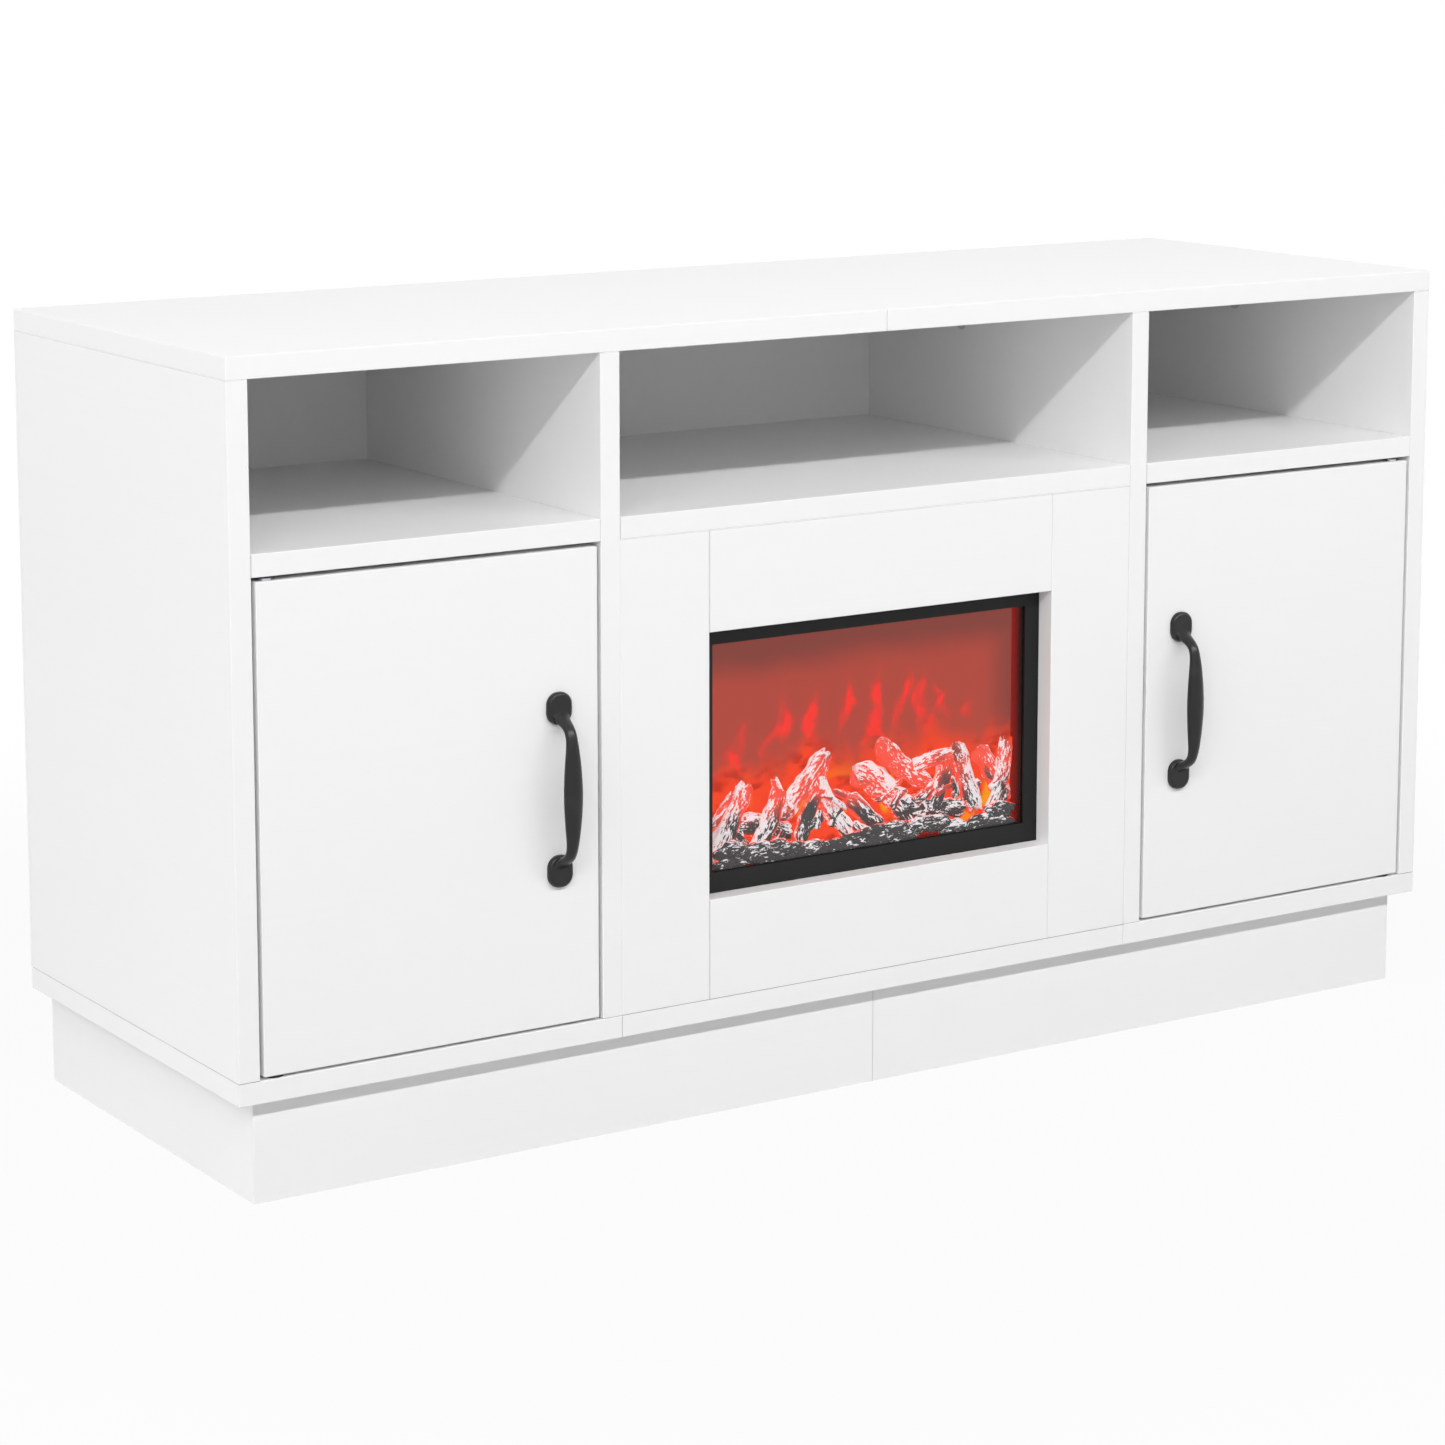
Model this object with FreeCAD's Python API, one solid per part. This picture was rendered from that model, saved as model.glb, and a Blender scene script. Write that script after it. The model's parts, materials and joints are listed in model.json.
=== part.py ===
import FreeCAD, Part
import math
import os

# Fireplace TV stand: a flat-pack carcass of three bays on a plinth, two inset doors on pivot pins,
# three open shelves and a slim electric fire behind a framed surround.
# Millimetres, +X right, +Y back, +Z up. The origin is on the floor, in the middle of the carcass.

Vec = FreeCAD.Vector
X_AXIS = Vec(1, 0, 0)
Y_AXIS = Vec(0, 1, 0)
Z_AXIS = Vec(0, 0, 1)

# Carcass
WIDTH = 1000.0
DEPTH = 330.0
HEIGHT = 550.0
BOARD = 15.0
EDGE_ROUND = 0.6
SEAM_GAP = 0.2
CENTRE_BAY_WIDTH = 430.0
OPEN_BAY_HEIGHT = 110.0
PLINTH_HEIGHT = 70.0
PLINTH_SIDE_INSET = 15.0
PLINTH_FRONT_INSET = 12.0
CORNER_BLOCK_LEG = 40.0
CORNER_BLOCK_HEIGHT = 50.0
BACK_THICKNESS = 3.0
BACK_MARGIN = 0.2

# Fire surround
STILE_WIDTH = 70.0
RAIL_HEIGHT = 70.0
BRACKET_LEG = 20.0
BRACKET_SHEET = 2.0
BRACKET_WIDTH = 18.0
BRACKET_SETBACK = 45.0

# Fasteners
OVERRUN = 1.0
FASTENER_CLEARANCE = 0.1
DOWEL_RADIUS = 4.0
DOWEL_LENGTH = 20.0
DOWEL_END_ROOM = 0.5
DOWEL_CHAMFER = 0.8
CAM_RADIUS = 7.4
CAM_HEIGHT = 12.0
CAM_SETBACK = 24.0
CAM_SLOT_WIDTH = 2.0
CAM_SLOT_LENGTH = 9.0
CAM_SLOT_DEPTH = 3.0
BOLT_RADIUS = 3.0
BOLT_NECK_RADIUS = 2.0
BOLT_THREAD_LENGTH = 10.5
BOLT_HEAD_LENGTH = 4.0
SCREW_RADIUS = 2.5
SCREW_LENGTH = 45.0
SCREW_HEAD_RADIUS = 4.5
SCREW_HEAD_HEIGHT = 3.0
NAIL_RADIUS = 0.9
NAIL_LENGTH = 14.0
NAIL_HEAD_RADIUS = 2.5
NAIL_HEAD_HEIGHT = 0.8
PLATE_LENGTH = 120.0
PLATE_WIDTH = 40.0
PLATE_SHEET = 2.0
PLATE_ROUND = 6.0

# Doors
DOOR_GAP = 3.0
DOOR_GAP_LOW = 2.0
PIVOT_SETBACK = 10.0
PIN_RADIUS = 3.0
PIN_IN_DOOR = 18.0
PIN_IN_BUSH = 8.0
COLLAR_RADIUS = 4.5
COLLAR_SHARE = 0.40
BUSH_RADIUS = 5.0
BUSH_DEPTH = 9.0
FLANGE_RADIUS = 6.2
FLANGE_SHARE = 0.45
RUNNING_CLEARANCE = 0.05
CATCH_LENGTH = 46.0
CATCH_HEIGHT = 14.0
CATCH_DEPTH = 18.0
CATCH_ROUND = 2.0
CATCH_CLEARANCE = 0.4
CATCH_EDGE_SETBACK = 20.0
MAGNET_LENGTH = 34.0
MAGNET_HEIGHT = 3.0
MAGNET_PROUD = 0.2
STRIKE_LENGTH = 40.0
STRIKE_HEIGHT = 12.0
STRIKE_SHEET = 1.5
STRIKE_ROUND = 2.0

# Bow handles
HANDLE_LENGTH = 132.0
HANDLE_EDGE_SETBACK = 30.5
HANDLE_STANDOFF = 19.0
HANDLE_SCREW_INSET = 17.0
FOOT_WIDTH = 18.5
FOOT_HEIGHT = 22.0
FOOT_THICKNESS = 4.0
FOOT_CORNER = 8.6
FOOT_EDGE_ROUND = 2.4
GRIP_WIDTH = 13.5
GRIP_DEPTH = 10.0
RIGHT_ANGLE = 90.0
# Stations of the bow from a foot to its middle: height as a share of half the handle, standoff as a share
# of the whole, lean from straight out as a share of a right angle, and the section's width and depth as
# shares of the grip's.
BOW_SHARES = (
    (0.833, 0.089, 1.00, 1.00, 0.24),
    (0.780, 0.140, 0.72, 1.00, 0.44),
    (0.735, 0.284, 0.43, 0.82, 0.60),
    (0.689, 0.553, 0.37, 0.65, 0.62),
    (0.636, 0.784, 0.58, 0.59, 0.62),
    (0.553, 0.911, 0.83, 0.61, 0.66),
    (0.394, 0.974, 0.95, 0.77, 0.80),
    (0.197, 0.995, 0.99, 0.93, 0.94),
    (0.000, 1.000, 1.00, 1.00, 1.00),
)
HANDLE_SCREW_RADIUS = 2.0
HANDLE_SCREW_BITE = 4.0
HANDLE_SCREW_HEAD_RADIUS = 4.0
HANDLE_SCREW_HEAD_HEIGHT = 2.4
DRIVE_SLOT_WIDTH = 1.0
DRIVE_SLOT_DEPTH = 1.2

# Electric fire
BEZEL_BAR = 12.0
BEZEL_BAR_LOW = 14.0
BEZEL_OVERLAP = 15.0
BEZEL_DEPTH = 11.0
BEZEL_LIP = 1.5
GLASS_REBATE = 5.0
GLASS_THICKNESS = 2.0
GLASS_CLEARANCE = 0.2
HOUSING_OVERLAP = 5.0
HOUSING_DEPTH = 90.0
SHEET = 1.5
TAB_WIDTH = 14.0
TAB_DEPTH = 6.0
SCREEN_SETBACK = 16.0
SCREEN_THICKNESS = 2.0
SCREEN_CLEARANCE = 0.2
VENT_LENGTH = 26.0
VENT_HEIGHT = 4.0
VENT_PITCH_X = 34.0
VENT_PITCH_Z = 10.0
VENT_MARGIN = 32.0
VENT_END_SHARE = 0.49
SMALL_SCREW_RADIUS = 1.5
SMALL_SCREW_LENGTH = 14.0
SMALL_SCREW_HEAD_RADIUS = 3.0
SMALL_SCREW_HEAD_HEIGHT = 1.8
SMALL_SCREW_CROWN_SHARE = 0.7

# Ember bed and logs, in front of the flame screen
EMBER_DEPTH = 4.0
EMBER_HEIGHT = 14.0
EMBER_WAVE = 5.0
EMBER_WAVES = 9
LAYER_CLEARANCE = 0.3
HEARTH_SHARE = 0.10
LOG_SIDES = 9
LOG_RINGS = 5
LOG_FLATTEN_SHARE = 0.30
LOG_KNOT_SHARE = 0.10
LOG_TAPER_SHARE = 0.80
LOG_RADIUS = 11.0
# Each log: start and end as shares of the window's width and height, and its radius as a share.
LOG_SHARES = (
    (0.03, 0.03, 0.13, 0.42, 0.85),
    (0.08, 0.20, 0.27, 0.12, 0.80),
    (0.16, 0.05, 0.23, 0.36, 0.75),
    (0.24, 0.22, 0.40, 0.53, 0.85),
    (0.30, 0.06, 0.36, 0.34, 0.60),
    (0.36, 0.40, 0.47, 0.05, 0.75),
    (0.45, 0.26, 0.56, 0.06, 0.70),
    (0.48, 0.42, 0.66, 0.08, 1.00),
    (0.55, 0.56, 0.72, 0.28, 0.80),
    (0.63, 0.16, 0.84, 0.10, 0.80),
    (0.66, 0.38, 0.80, 0.44, 0.60),
    (0.72, 0.10, 0.78, 0.42, 0.75),
    (0.80, 0.48, 0.87, 0.08, 0.75),
    (0.88, 0.44, 0.97, 0.10, 0.85),
    (0.92, 0.06, 0.97, 0.50, 0.65),
)

# Flame drive
LED_BOARD_LENGTH = 240.0
LED_BOARD_WIDTH = 14.0
LED_BOARD_SETBACK = 8.0
LED_BOARD_THICKNESS = 1.6
LED_COUNT = 10
LED_RADIUS = 2.5
LED_HEIGHT = 3.5
SPINDLE_RADIUS = 3.0
SPINDLE_SETBACK = 40.0
SPINDLE_LIFT = 42.0
SPINDLE_END_ROOM = 0.5
BLADE_RADIUS = 17.0
BLADE_WIDTH = 18.0
BLADE_SHEET = 0.8
BLADE_SETS = 9
BLADE_TWIST = 40.0
MOTOR_RADIUS = 22.0
MOTOR_LENGTH = 18.0
MOTOR_BOSS_RADIUS = 6.0
MOTOR_BOSS_LENGTH = 8.0
BEARING_RADIUS = 8.0
BEARING_LENGTH = 12.0
BEARING_BORE_DEPTH = 10.0

# Rear controls
SWITCH_OFFSET = 45.0
SWITCH_LIFT = 28.0
SWITCH_WIDTH = 21.0
SWITCH_HEIGHT = 15.0
SWITCH_FLANGE = 2.0
SWITCH_FLANGE_HEIGHT = 1.6
SWITCH_BODY_DEPTH = 14.0
ROCKER_WIDTH = 15.0
ROCKER_HALF_HEIGHT = 5.2
ROCKER_DEPTH = 5.0
ROCKER_DISH = 1.4
ROCKER_TILT = 7.5
ROCKER_ROOM = 0.9
ROCKER_PIN_RADIUS = 1.2
ROCKER_PIN_LENGTH = 1.2
ROCKER_PIVOT_DEPTH = 1.5
SOCKET_RADIUS = 5.5
SOCKET_FLANGE_RADIUS = 7.5
SOCKET_FLANGE_HEIGHT = 2.0
SOCKET_DEPTH = 12.0
SOCKET_BORE_RADIUS = 2.8
SOCKET_BORE_DEPTH = 9.0
SOCKET_PIN_RADIUS = 1.0

# Places worked out from the sizes above
FRONT = -DEPTH / 2
BACK = DEPTH / 2
REAR = BACK - BACK_THICKNESS
SIDE_OUT = WIDTH / 2
SIDE_IN = SIDE_OUT - BOARD
PART_IN = CENTRE_BAY_WIDTH / 2
PART_OUT = PART_IN + BOARD
BASE_TOP = PLINTH_HEIGHT + BOARD
TOP_UNDER = HEIGHT - BOARD
SHELF_TOP = TOP_UNDER - OPEN_BAY_HEIGHT
SHELF_UNDER = SHELF_TOP - BOARD
PLINTH_FRONT = FRONT + PLINTH_FRONT_INSET
PLINTH_SIDE = SIDE_OUT - PLINTH_SIDE_INSET
DOOR_BACK = FRONT + BOARD
DOOR_OUT = SIDE_IN - DOOR_GAP
DOOR_IN = PART_OUT + DOOR_GAP
DOOR_LOW = BASE_TOP + DOOR_GAP_LOW
DOOR_HIGH = SHELF_UNDER - DOOR_GAP
PIVOT_X = DOOR_OUT - PIVOT_SETBACK
PIVOT_Y = FRONT + BOARD / 2
HANDLE_X = DOOR_IN + HANDLE_EDGE_SETBACK
HANDLE_Z = (DOOR_LOW + DOOR_HIGH) / 2
WINDOW_X = PART_IN - STILE_WIDTH
WINDOW_LOW = BASE_TOP + RAIL_HEIGHT
WINDOW_HIGH = SHELF_UNDER - RAIL_HEIGHT
FIRE_Z = (WINDOW_LOW + WINDOW_HIGH) / 2
FIRE_HALF = (WINDOW_HIGH - WINDOW_LOW) / 2
BEZEL_FRONT = FRONT + BOARD
BEZEL_BACK = BEZEL_FRONT + BEZEL_DEPTH
HOUSING_BACK = BEZEL_BACK + HOUSING_DEPTH
HOUSING_X = WINDOW_X + HOUSING_OVERLAP
HOUSING_HALF = FIRE_HALF + HOUSING_OVERLAP
SCREEN_FRONT = BEZEL_FRONT + SCREEN_SETBACK
SCREEN_BACK = SCREEN_FRONT + SCREEN_THICKNESS
GLASS_FRONT = BEZEL_FRONT + BEZEL_LIP
GLASS_BACK = GLASS_FRONT + GLASS_THICKNESS
VIEW_X = WINDOW_X - BEZEL_BAR
VIEW_LOW = WINDOW_LOW + BEZEL_BAR_LOW
VIEW_HIGH = WINDOW_HIGH - BEZEL_BAR
SPINDLE_Y = SCREEN_BACK + SPINDLE_SETBACK
SPINDLE_Z = FIRE_Z - HOUSING_HALF + SPINDLE_LIFT
WALL_IN = HOUSING_X - SHEET


def block(x0, x1, y0, y1, z0, z1):
    """A box between two corners."""
    return Part.makeBox(x1 - x0, y1 - y0, z1 - z0, Vec(x0, y0, z0))


def rod(radius, length, start, axis):
    """A plain cylinder from a start point along an axis."""
    return Part.makeCylinder(radius, length, start, axis)


def soften(shape, radius, keep=None):
    """Rounds every edge of a board, apart from those that keep() picks out."""
    edges = [edge for edge in shape.Edges if keep is None or not keep(edge)]
    return shape.makeFillet(radius, edges)


def board(x0, x1, y0, y1, z0, z1, keep=None):
    """A coated board with softened edges."""
    return soften(block(x0, x1, y0, y1, z0, z1), EDGE_ROUND, keep)


def extruded(points, direction):
    """A prism from a closed outline."""
    return Part.Face(Part.makePolygon(points + points[:1])).extrude(direction)


def mirrored(shape):
    """The same piece on the other side of the cabinet."""
    return shape.mirror(Vec(), X_AXIS)


def opened(x, z_low, z_high, wall, y0, y1):
    """A rectangular frame round an opening of half width x, with a wall on all four sides."""
    outer = block(-x - wall, x + wall, y0, y1, z_low - wall, z_high + wall)
    return outer.cut(block(-x, x, y0 - OVERRUN, y1 + OVERRUN, z_low, z_high))


def rounded_plate(width, height, thickness, corner):
    """An upright plate with round corners, centred on X and Z, its back at Y = 0 and its face at -Y."""
    plate = block(-width / 2, width / 2, -thickness, 0, -height / 2, height / 2)
    through = [e for e in plate.Edges if e.BoundBox.YLength > thickness / 2]
    return plate.makeFillet(corner, through)


class Fasteners:
    """Collects fastener solids by node, and the bores that they need in the pieces they join."""

    def __init__(self):
        self.nodes = {}
        self.bores = []

    def add(self, node, solid, *bores):
        self.nodes.setdefault(node, []).append(solid)
        self.bores.extend(bores)

    def bore(self, shape):
        """Cuts every bore that reaches into a piece."""
        box = shape.BoundBox
        cutters = [c for c in self.bores if box.intersect(c.BoundBox)]
        return shape.cut(cutters) if cutters else shape


fasteners = Fasteners()


def dowel(middle, axis):
    """A chamfered wooden dowel, half in each of two boards."""
    start = middle - axis * (DOWEL_LENGTH / 2)
    pin = rod(DOWEL_RADIUS, DOWEL_LENGTH, start, axis)
    ends = [e for e in pin.Edges if len(e.Vertexes) == 1]
    hole_length = DOWEL_LENGTH + 2 * DOWEL_END_ROOM
    hole_start = middle - axis * (hole_length / 2)
    hole = rod(DOWEL_RADIUS + FASTENER_CLEARANCE, hole_length, hole_start, axis)
    fasteners.add("wood_dowels", pin.makeChamfer(DOWEL_CHAMFER, ends), hole)


def cam_joint(joint, inward, face_normal):
    """A cam in one board's face, and the bolt that runs from the other board's face into it.

    joint is where the bolt crosses the joint, inward runs from there to the cam, and face_normal points
    out of the face that the cam is bored into, which is half a board from the bolt.
    """
    centre = joint + inward * CAM_SETBACK
    mouth = centre + face_normal * (BOARD / 2)
    cam = rod(CAM_RADIUS, CAM_HEIGHT, mouth, -face_normal)
    across = inward.cross(face_normal)
    slot = block(-CAM_SLOT_LENGTH / 2, CAM_SLOT_LENGTH / 2, -CAM_SLOT_WIDTH / 2, CAM_SLOT_WIDTH / 2,
                 -CAM_SLOT_DEPTH, OVERRUN)
    turned = FreeCAD.Rotation(inward, across, face_normal, "ZXY")
    cross = slot.fuse(slot.rotated(Vec(), Z_AXIS, 90))
    cross.Placement = FreeCAD.Placement(mouth, turned)
    bolt_end = CAM_SETBACK - BOLT_NECK_RADIUS
    head_hole_radius = BOLT_RADIUS + FASTENER_CLEARANCE
    passage = rod(head_hole_radius, CAM_SETBACK + BOLT_NECK_RADIUS, joint, inward)
    cam_hole = rod(CAM_RADIUS + FASTENER_CLEARANCE, CAM_HEIGHT + DOWEL_END_ROOM, mouth, -face_normal)
    thread_hole = rod(head_hole_radius, BOLT_THREAD_LENGTH + DOWEL_END_ROOM, joint, -inward)
    fasteners.add("cam_locks", cam.cut([cross, passage]), cam_hole, passage, thread_hole)
    thread = rod(BOLT_RADIUS, BOLT_THREAD_LENGTH, joint, -inward)
    neck = rod(BOLT_NECK_RADIUS, bolt_end, joint, inward)
    head = rod(BOLT_RADIUS, BOLT_HEAD_LENGTH, joint + inward * (bolt_end - BOLT_HEAD_LENGTH), inward)
    collar = rod(BOLT_RADIUS, BOLT_HEAD_LENGTH, joint, inward)
    fasteners.add("cam_bolts", thread.fuse([neck, head, collar]).removeSplitter())


def base_screw(x, y):
    """A countersunk screw up through the base into an upright's lower edge."""
    foot = Vec(x, y, PLINTH_HEIGHT)
    shank = rod(SCREW_RADIUS, SCREW_LENGTH, foot, Z_AXIS)
    head = Part.makeCone(SCREW_HEAD_RADIUS, SCREW_RADIUS, SCREW_HEAD_HEIGHT, foot, Z_AXIS)
    drive = block(x - SCREW_RADIUS, x + SCREW_RADIUS, y - DRIVE_SLOT_WIDTH / 2, y + DRIVE_SLOT_WIDTH / 2,
                  PLINTH_HEIGHT - OVERRUN, PLINTH_HEIGHT + DRIVE_SLOT_DEPTH)
    hole = rod(SCREW_RADIUS + FASTENER_CLEARANCE, SCREW_LENGTH + DOWEL_END_ROOM, foot, Z_AXIS)
    sink = Part.makeCone(SCREW_HEAD_RADIUS + FASTENER_CLEARANCE, SCREW_RADIUS + FASTENER_CLEARANCE,
                         SCREW_HEAD_HEIGHT, foot, Z_AXIS)
    fasteners.add("base_screws", shank.fuse(head).cut(drive).removeSplitter(), hole, sink)


def back_nail(x, z):
    """A flat-headed nail through the back panel into a board's rear edge."""
    seat = Vec(x, BACK, z)
    shank = rod(NAIL_RADIUS, NAIL_LENGTH, seat, -Y_AXIS)
    head = rod(NAIL_HEAD_RADIUS, NAIL_HEAD_HEIGHT, seat, Y_AXIS)
    hole = rod(NAIL_RADIUS + FASTENER_CLEARANCE, NAIL_LENGTH + DOWEL_END_ROOM, seat, -Y_AXIS)
    fasteners.add("back_panel_nails", shank.fuse(head).removeSplitter(), hole)


def small_screw(node, seat, inward, length):
    """A screw with a low crowned head on the outside of the seat."""
    shank = rod(SMALL_SCREW_RADIUS, length, seat, inward)
    crown_radius = SMALL_SCREW_HEAD_RADIUS * SMALL_SCREW_CROWN_SHARE
    head = Part.makeCone(SMALL_SCREW_HEAD_RADIUS, crown_radius, SMALL_SCREW_HEAD_HEIGHT, seat, -inward)
    hole = rod(SMALL_SCREW_RADIUS + FASTENER_CLEARANCE, length + DOWEL_END_ROOM, seat, inward)
    fasteners.add(node, shank.fuse(head).removeSplitter(), hole)


def carcass_joints():
    """Dowels, cams and screws of the carcass. The cams at the top sit in its rear half, out of sight."""
    quarter = DEPTH / 4
    eighth = DEPTH / 8
    upright_middles = ((SIDE_IN + SIDE_OUT) / 2, (PART_IN + PART_OUT) / 2)
    for side in (-1, 1):
        for middle in upright_middles:
            x = side * middle
            for y in (-quarter - eighth, -eighth):
                dowel(Vec(x, y, TOP_UNDER), Z_AXIS)
            for y in (eighth, quarter + eighth):
                cam_joint(Vec(x, y, TOP_UNDER), -Z_AXIS, X_AXIS * -side)
            for y in (-quarter, quarter):
                base_screw(x, y)
            dowel(Vec(x, 0, BASE_TOP), Z_AXIS)
        shelf_middle = (SHELF_TOP + SHELF_UNDER) / 2
        for face, outward in ((SIDE_IN, 1), (PART_OUT, -1)):
            x_out = X_AXIS * (side * outward)
            dowel(Vec(side * face, 0, shelf_middle), X_AXIS)
            for y in (-quarter, quarter):
                cam_joint(Vec(side * face, y, shelf_middle), -x_out, -Z_AXIS)
        for y in (-eighth, eighth):
            cam_joint(Vec(side * PART_IN, y, shelf_middle), X_AXIS * -side, -Z_AXIS)
        base_middle = (PLINTH_HEIGHT + BASE_TOP) / 2
        for y in (-quarter - eighth, quarter + eighth):
            dowel(Vec(side * PART_IN, y, base_middle), X_AXIS)
        for rail_middle in (WINDOW_LOW - RAIL_HEIGHT / 2, WINDOW_HIGH + RAIL_HEIGHT / 2):
            for step in (-RAIL_HEIGHT / 4, RAIL_HEIGHT / 4):
                dowel(Vec(side * WINDOW_X, FRONT + BOARD / 2, rail_middle + step), X_AXIS)
    for y in (-quarter - eighth, 0, quarter + eighth):
        dowel(Vec(0, y, HEIGHT - BOARD / 2), X_AXIS)


def back_nails():
    """Nails along the uprights and the shelves behind each back panel."""
    shelf_middle = (SHELF_TOP + SHELF_UNDER) / 2
    open_middle = (SHELF_TOP + TOP_UNDER) / 2
    edge_step = BOARD / 4
    rows = 4
    for side in (-1, 1):
        outer = side * (SIDE_OUT - BOARD / 2)
        inner = side * (PART_OUT - edge_step)
        for row in range(rows):
            z = BASE_TOP + (SHELF_UNDER - BASE_TOP) * (row + 0.5) / rows
            back_nail(outer, z)
            back_nail(inner, z)
        back_nail(outer, open_middle)
        back_nail(inner, open_middle)
        back_nail(side * (PART_IN + edge_step), open_middle)
        back_nail(side * (SIDE_IN + PART_OUT) / 2, shelf_middle)
        back_nail(side * PART_IN / 2, shelf_middle)


def top_panels():
    """Two halves that butt in the middle, so the edges at the seam stay sharp on the upper face."""
    def at_seam(edge):
        box = edge.BoundBox
        return max(abs(box.XMin), abs(box.XMax)) < BOARD and box.ZLength < BOARD / 2

    left = board(-SIDE_OUT, -SEAM_GAP / 2, FRONT, BACK, TOP_UNDER, HEIGHT, at_seam)
    return {"top_panel_left": left, "top_panel_right": mirrored(left)}


def top_joining_plate():
    """A steel plate screwed under the seam of the top."""
    plate = rounded_plate(PLATE_LENGTH, PLATE_WIDTH, PLATE_SHEET, PLATE_ROUND)
    plate.rotate(Vec(), X_AXIS, 90)
    plate.translate(Vec(0, 0, TOP_UNDER - plate.BoundBox.ZMax))
    seat_z = TOP_UNDER - PLATE_SHEET
    bite = BOARD * 2 / 3
    for x in (-PLATE_LENGTH * 3 / 8, -PLATE_LENGTH / 8, PLATE_LENGTH / 8, PLATE_LENGTH * 3 / 8):
        small_screw("pan_screws", Vec(x, 0, seat_z), Z_AXIS, bite)
    return {"top_joining_plate": plate}


def uprights():
    """Side panels and partitions, from the base to the top."""
    side = board(-SIDE_OUT, -SIDE_IN, FRONT, REAR, BASE_TOP, TOP_UNDER)
    partition = board(-PART_OUT, -PART_IN, FRONT, REAR, BASE_TOP, TOP_UNDER)
    return {
        "side_panel_left": side,
        "side_panel_right": mirrored(side),
        "partition_left": partition,
        "partition_right": mirrored(partition),
    }


def shelves():
    """One shelf in each bay, all at one height."""
    left = board(-SIDE_IN, -PART_OUT, FRONT, REAR, SHELF_UNDER, SHELF_TOP)
    centre = board(-PART_IN, PART_IN, FRONT, REAR, SHELF_UNDER, SHELF_TOP)
    return {"shelf_left": left, "shelf_center": centre, "shelf_right": mirrored(left)}


def base_panels():
    """The base in three boards, with seams under the partitions' inner faces."""
    left = board(-SIDE_OUT, -PART_IN, FRONT, BACK, PLINTH_HEIGHT, BASE_TOP)
    centre = board(-PART_IN, PART_IN, FRONT, BACK, PLINTH_HEIGHT, BASE_TOP)
    return {"base_panel_left": left, "base_panel_center": centre, "base_panel_right": mirrored(left)}


def plinth():
    """Front halves mitred to the sides, a back rail between the sides and a brace under the middle."""
    up = Z_AXIS * PLINTH_HEIGHT
    x_out = -PLINTH_SIDE
    x_in = x_out + BOARD
    y_in = PLINTH_FRONT + BOARD
    seam = -SEAM_GAP / 2
    front = extruded([Vec(x_out, PLINTH_FRONT, 0), Vec(seam, PLINTH_FRONT, 0), Vec(seam, y_in, 0),
                      Vec(x_in, y_in, 0)], up)
    side = extruded([Vec(x_out, PLINTH_FRONT, 0), Vec(x_in, y_in, 0), Vec(x_in, BACK, 0),
                     Vec(x_out, BACK, 0)], up)
    mitre_edge = EDGE_ROUND / 2

    def at_mitre(edge):
        return edge.BoundBox.XMin < x_in + OVERRUN and edge.BoundBox.YMin < y_in + OVERRUN

    front = soften(front, mitre_edge, at_mitre)
    back = board(x_in, -x_in, BACK - BOARD, BACK, 0, PLINTH_HEIGHT)
    brace = board(-BOARD / 2, BOARD / 2, y_in, BACK - BOARD, 0, PLINTH_HEIGHT)
    return {
        "plinth_front_left": front,
        "plinth_front_right": mirrored(front),
        "plinth_side_left": side,
        "plinth_side_right": mirrored(side),
        "plinth_back": back,
        "plinth_brace": brace,
    }


def plinth_corner_blocks():
    """Glued triangular blocks that tie the plinth's corners to the base."""
    x = -PLINTH_SIDE + BOARD
    y_front = PLINTH_FRONT + BOARD
    y_back = BACK - BOARD
    up = Z_AXIS * CORNER_BLOCK_HEIGHT
    low = PLINTH_HEIGHT - CORNER_BLOCK_HEIGHT
    blocks = []
    for y, way in ((y_front, 1), (y_back, -1)):
        outline = [Vec(x, y, low), Vec(x + CORNER_BLOCK_LEG, y, low), Vec(x, y + way * CORNER_BLOCK_LEG, low)]
        corner = extruded(outline, up)
        blocks += [corner, mirrored(corner)]
    return {"plinth_corner_blocks": Part.makeCompound(blocks)}


def back_panels():
    """Hardboard nailed to the rear edges. The fire's bay stays open behind, for air and its lead."""
    seam_x = (PART_IN + PART_OUT) / 2
    half_gap = SEAM_GAP / 2
    high = TOP_UNDER - BACK_MARGIN
    left = block(-SIDE_OUT, -seam_x - half_gap, REAR, BACK, BASE_TOP, high)
    centre = block(-seam_x + half_gap, seam_x - half_gap, REAR, BACK, SHELF_UNDER, high)
    return {"back_panel_left": left, "back_panel_center": centre, "back_panel_right": mirrored(left)}


def surround():
    """Two stiles and two rails, flush with the front, that frame the fire."""
    stile = board(-PART_IN, -WINDOW_X, FRONT, DOOR_BACK, BASE_TOP, SHELF_UNDER)
    top_rail = board(-WINDOW_X, WINDOW_X, FRONT, DOOR_BACK, WINDOW_HIGH, SHELF_UNDER)
    low_rail = board(-WINDOW_X, WINDOW_X, FRONT, DOOR_BACK, BASE_TOP, WINDOW_LOW)
    return {
        "surround_stile_left": stile,
        "surround_stile_right": mirrored(stile),
        "surround_rail_top": top_rail,
        "surround_rail_bottom": low_rail,
    }


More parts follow.
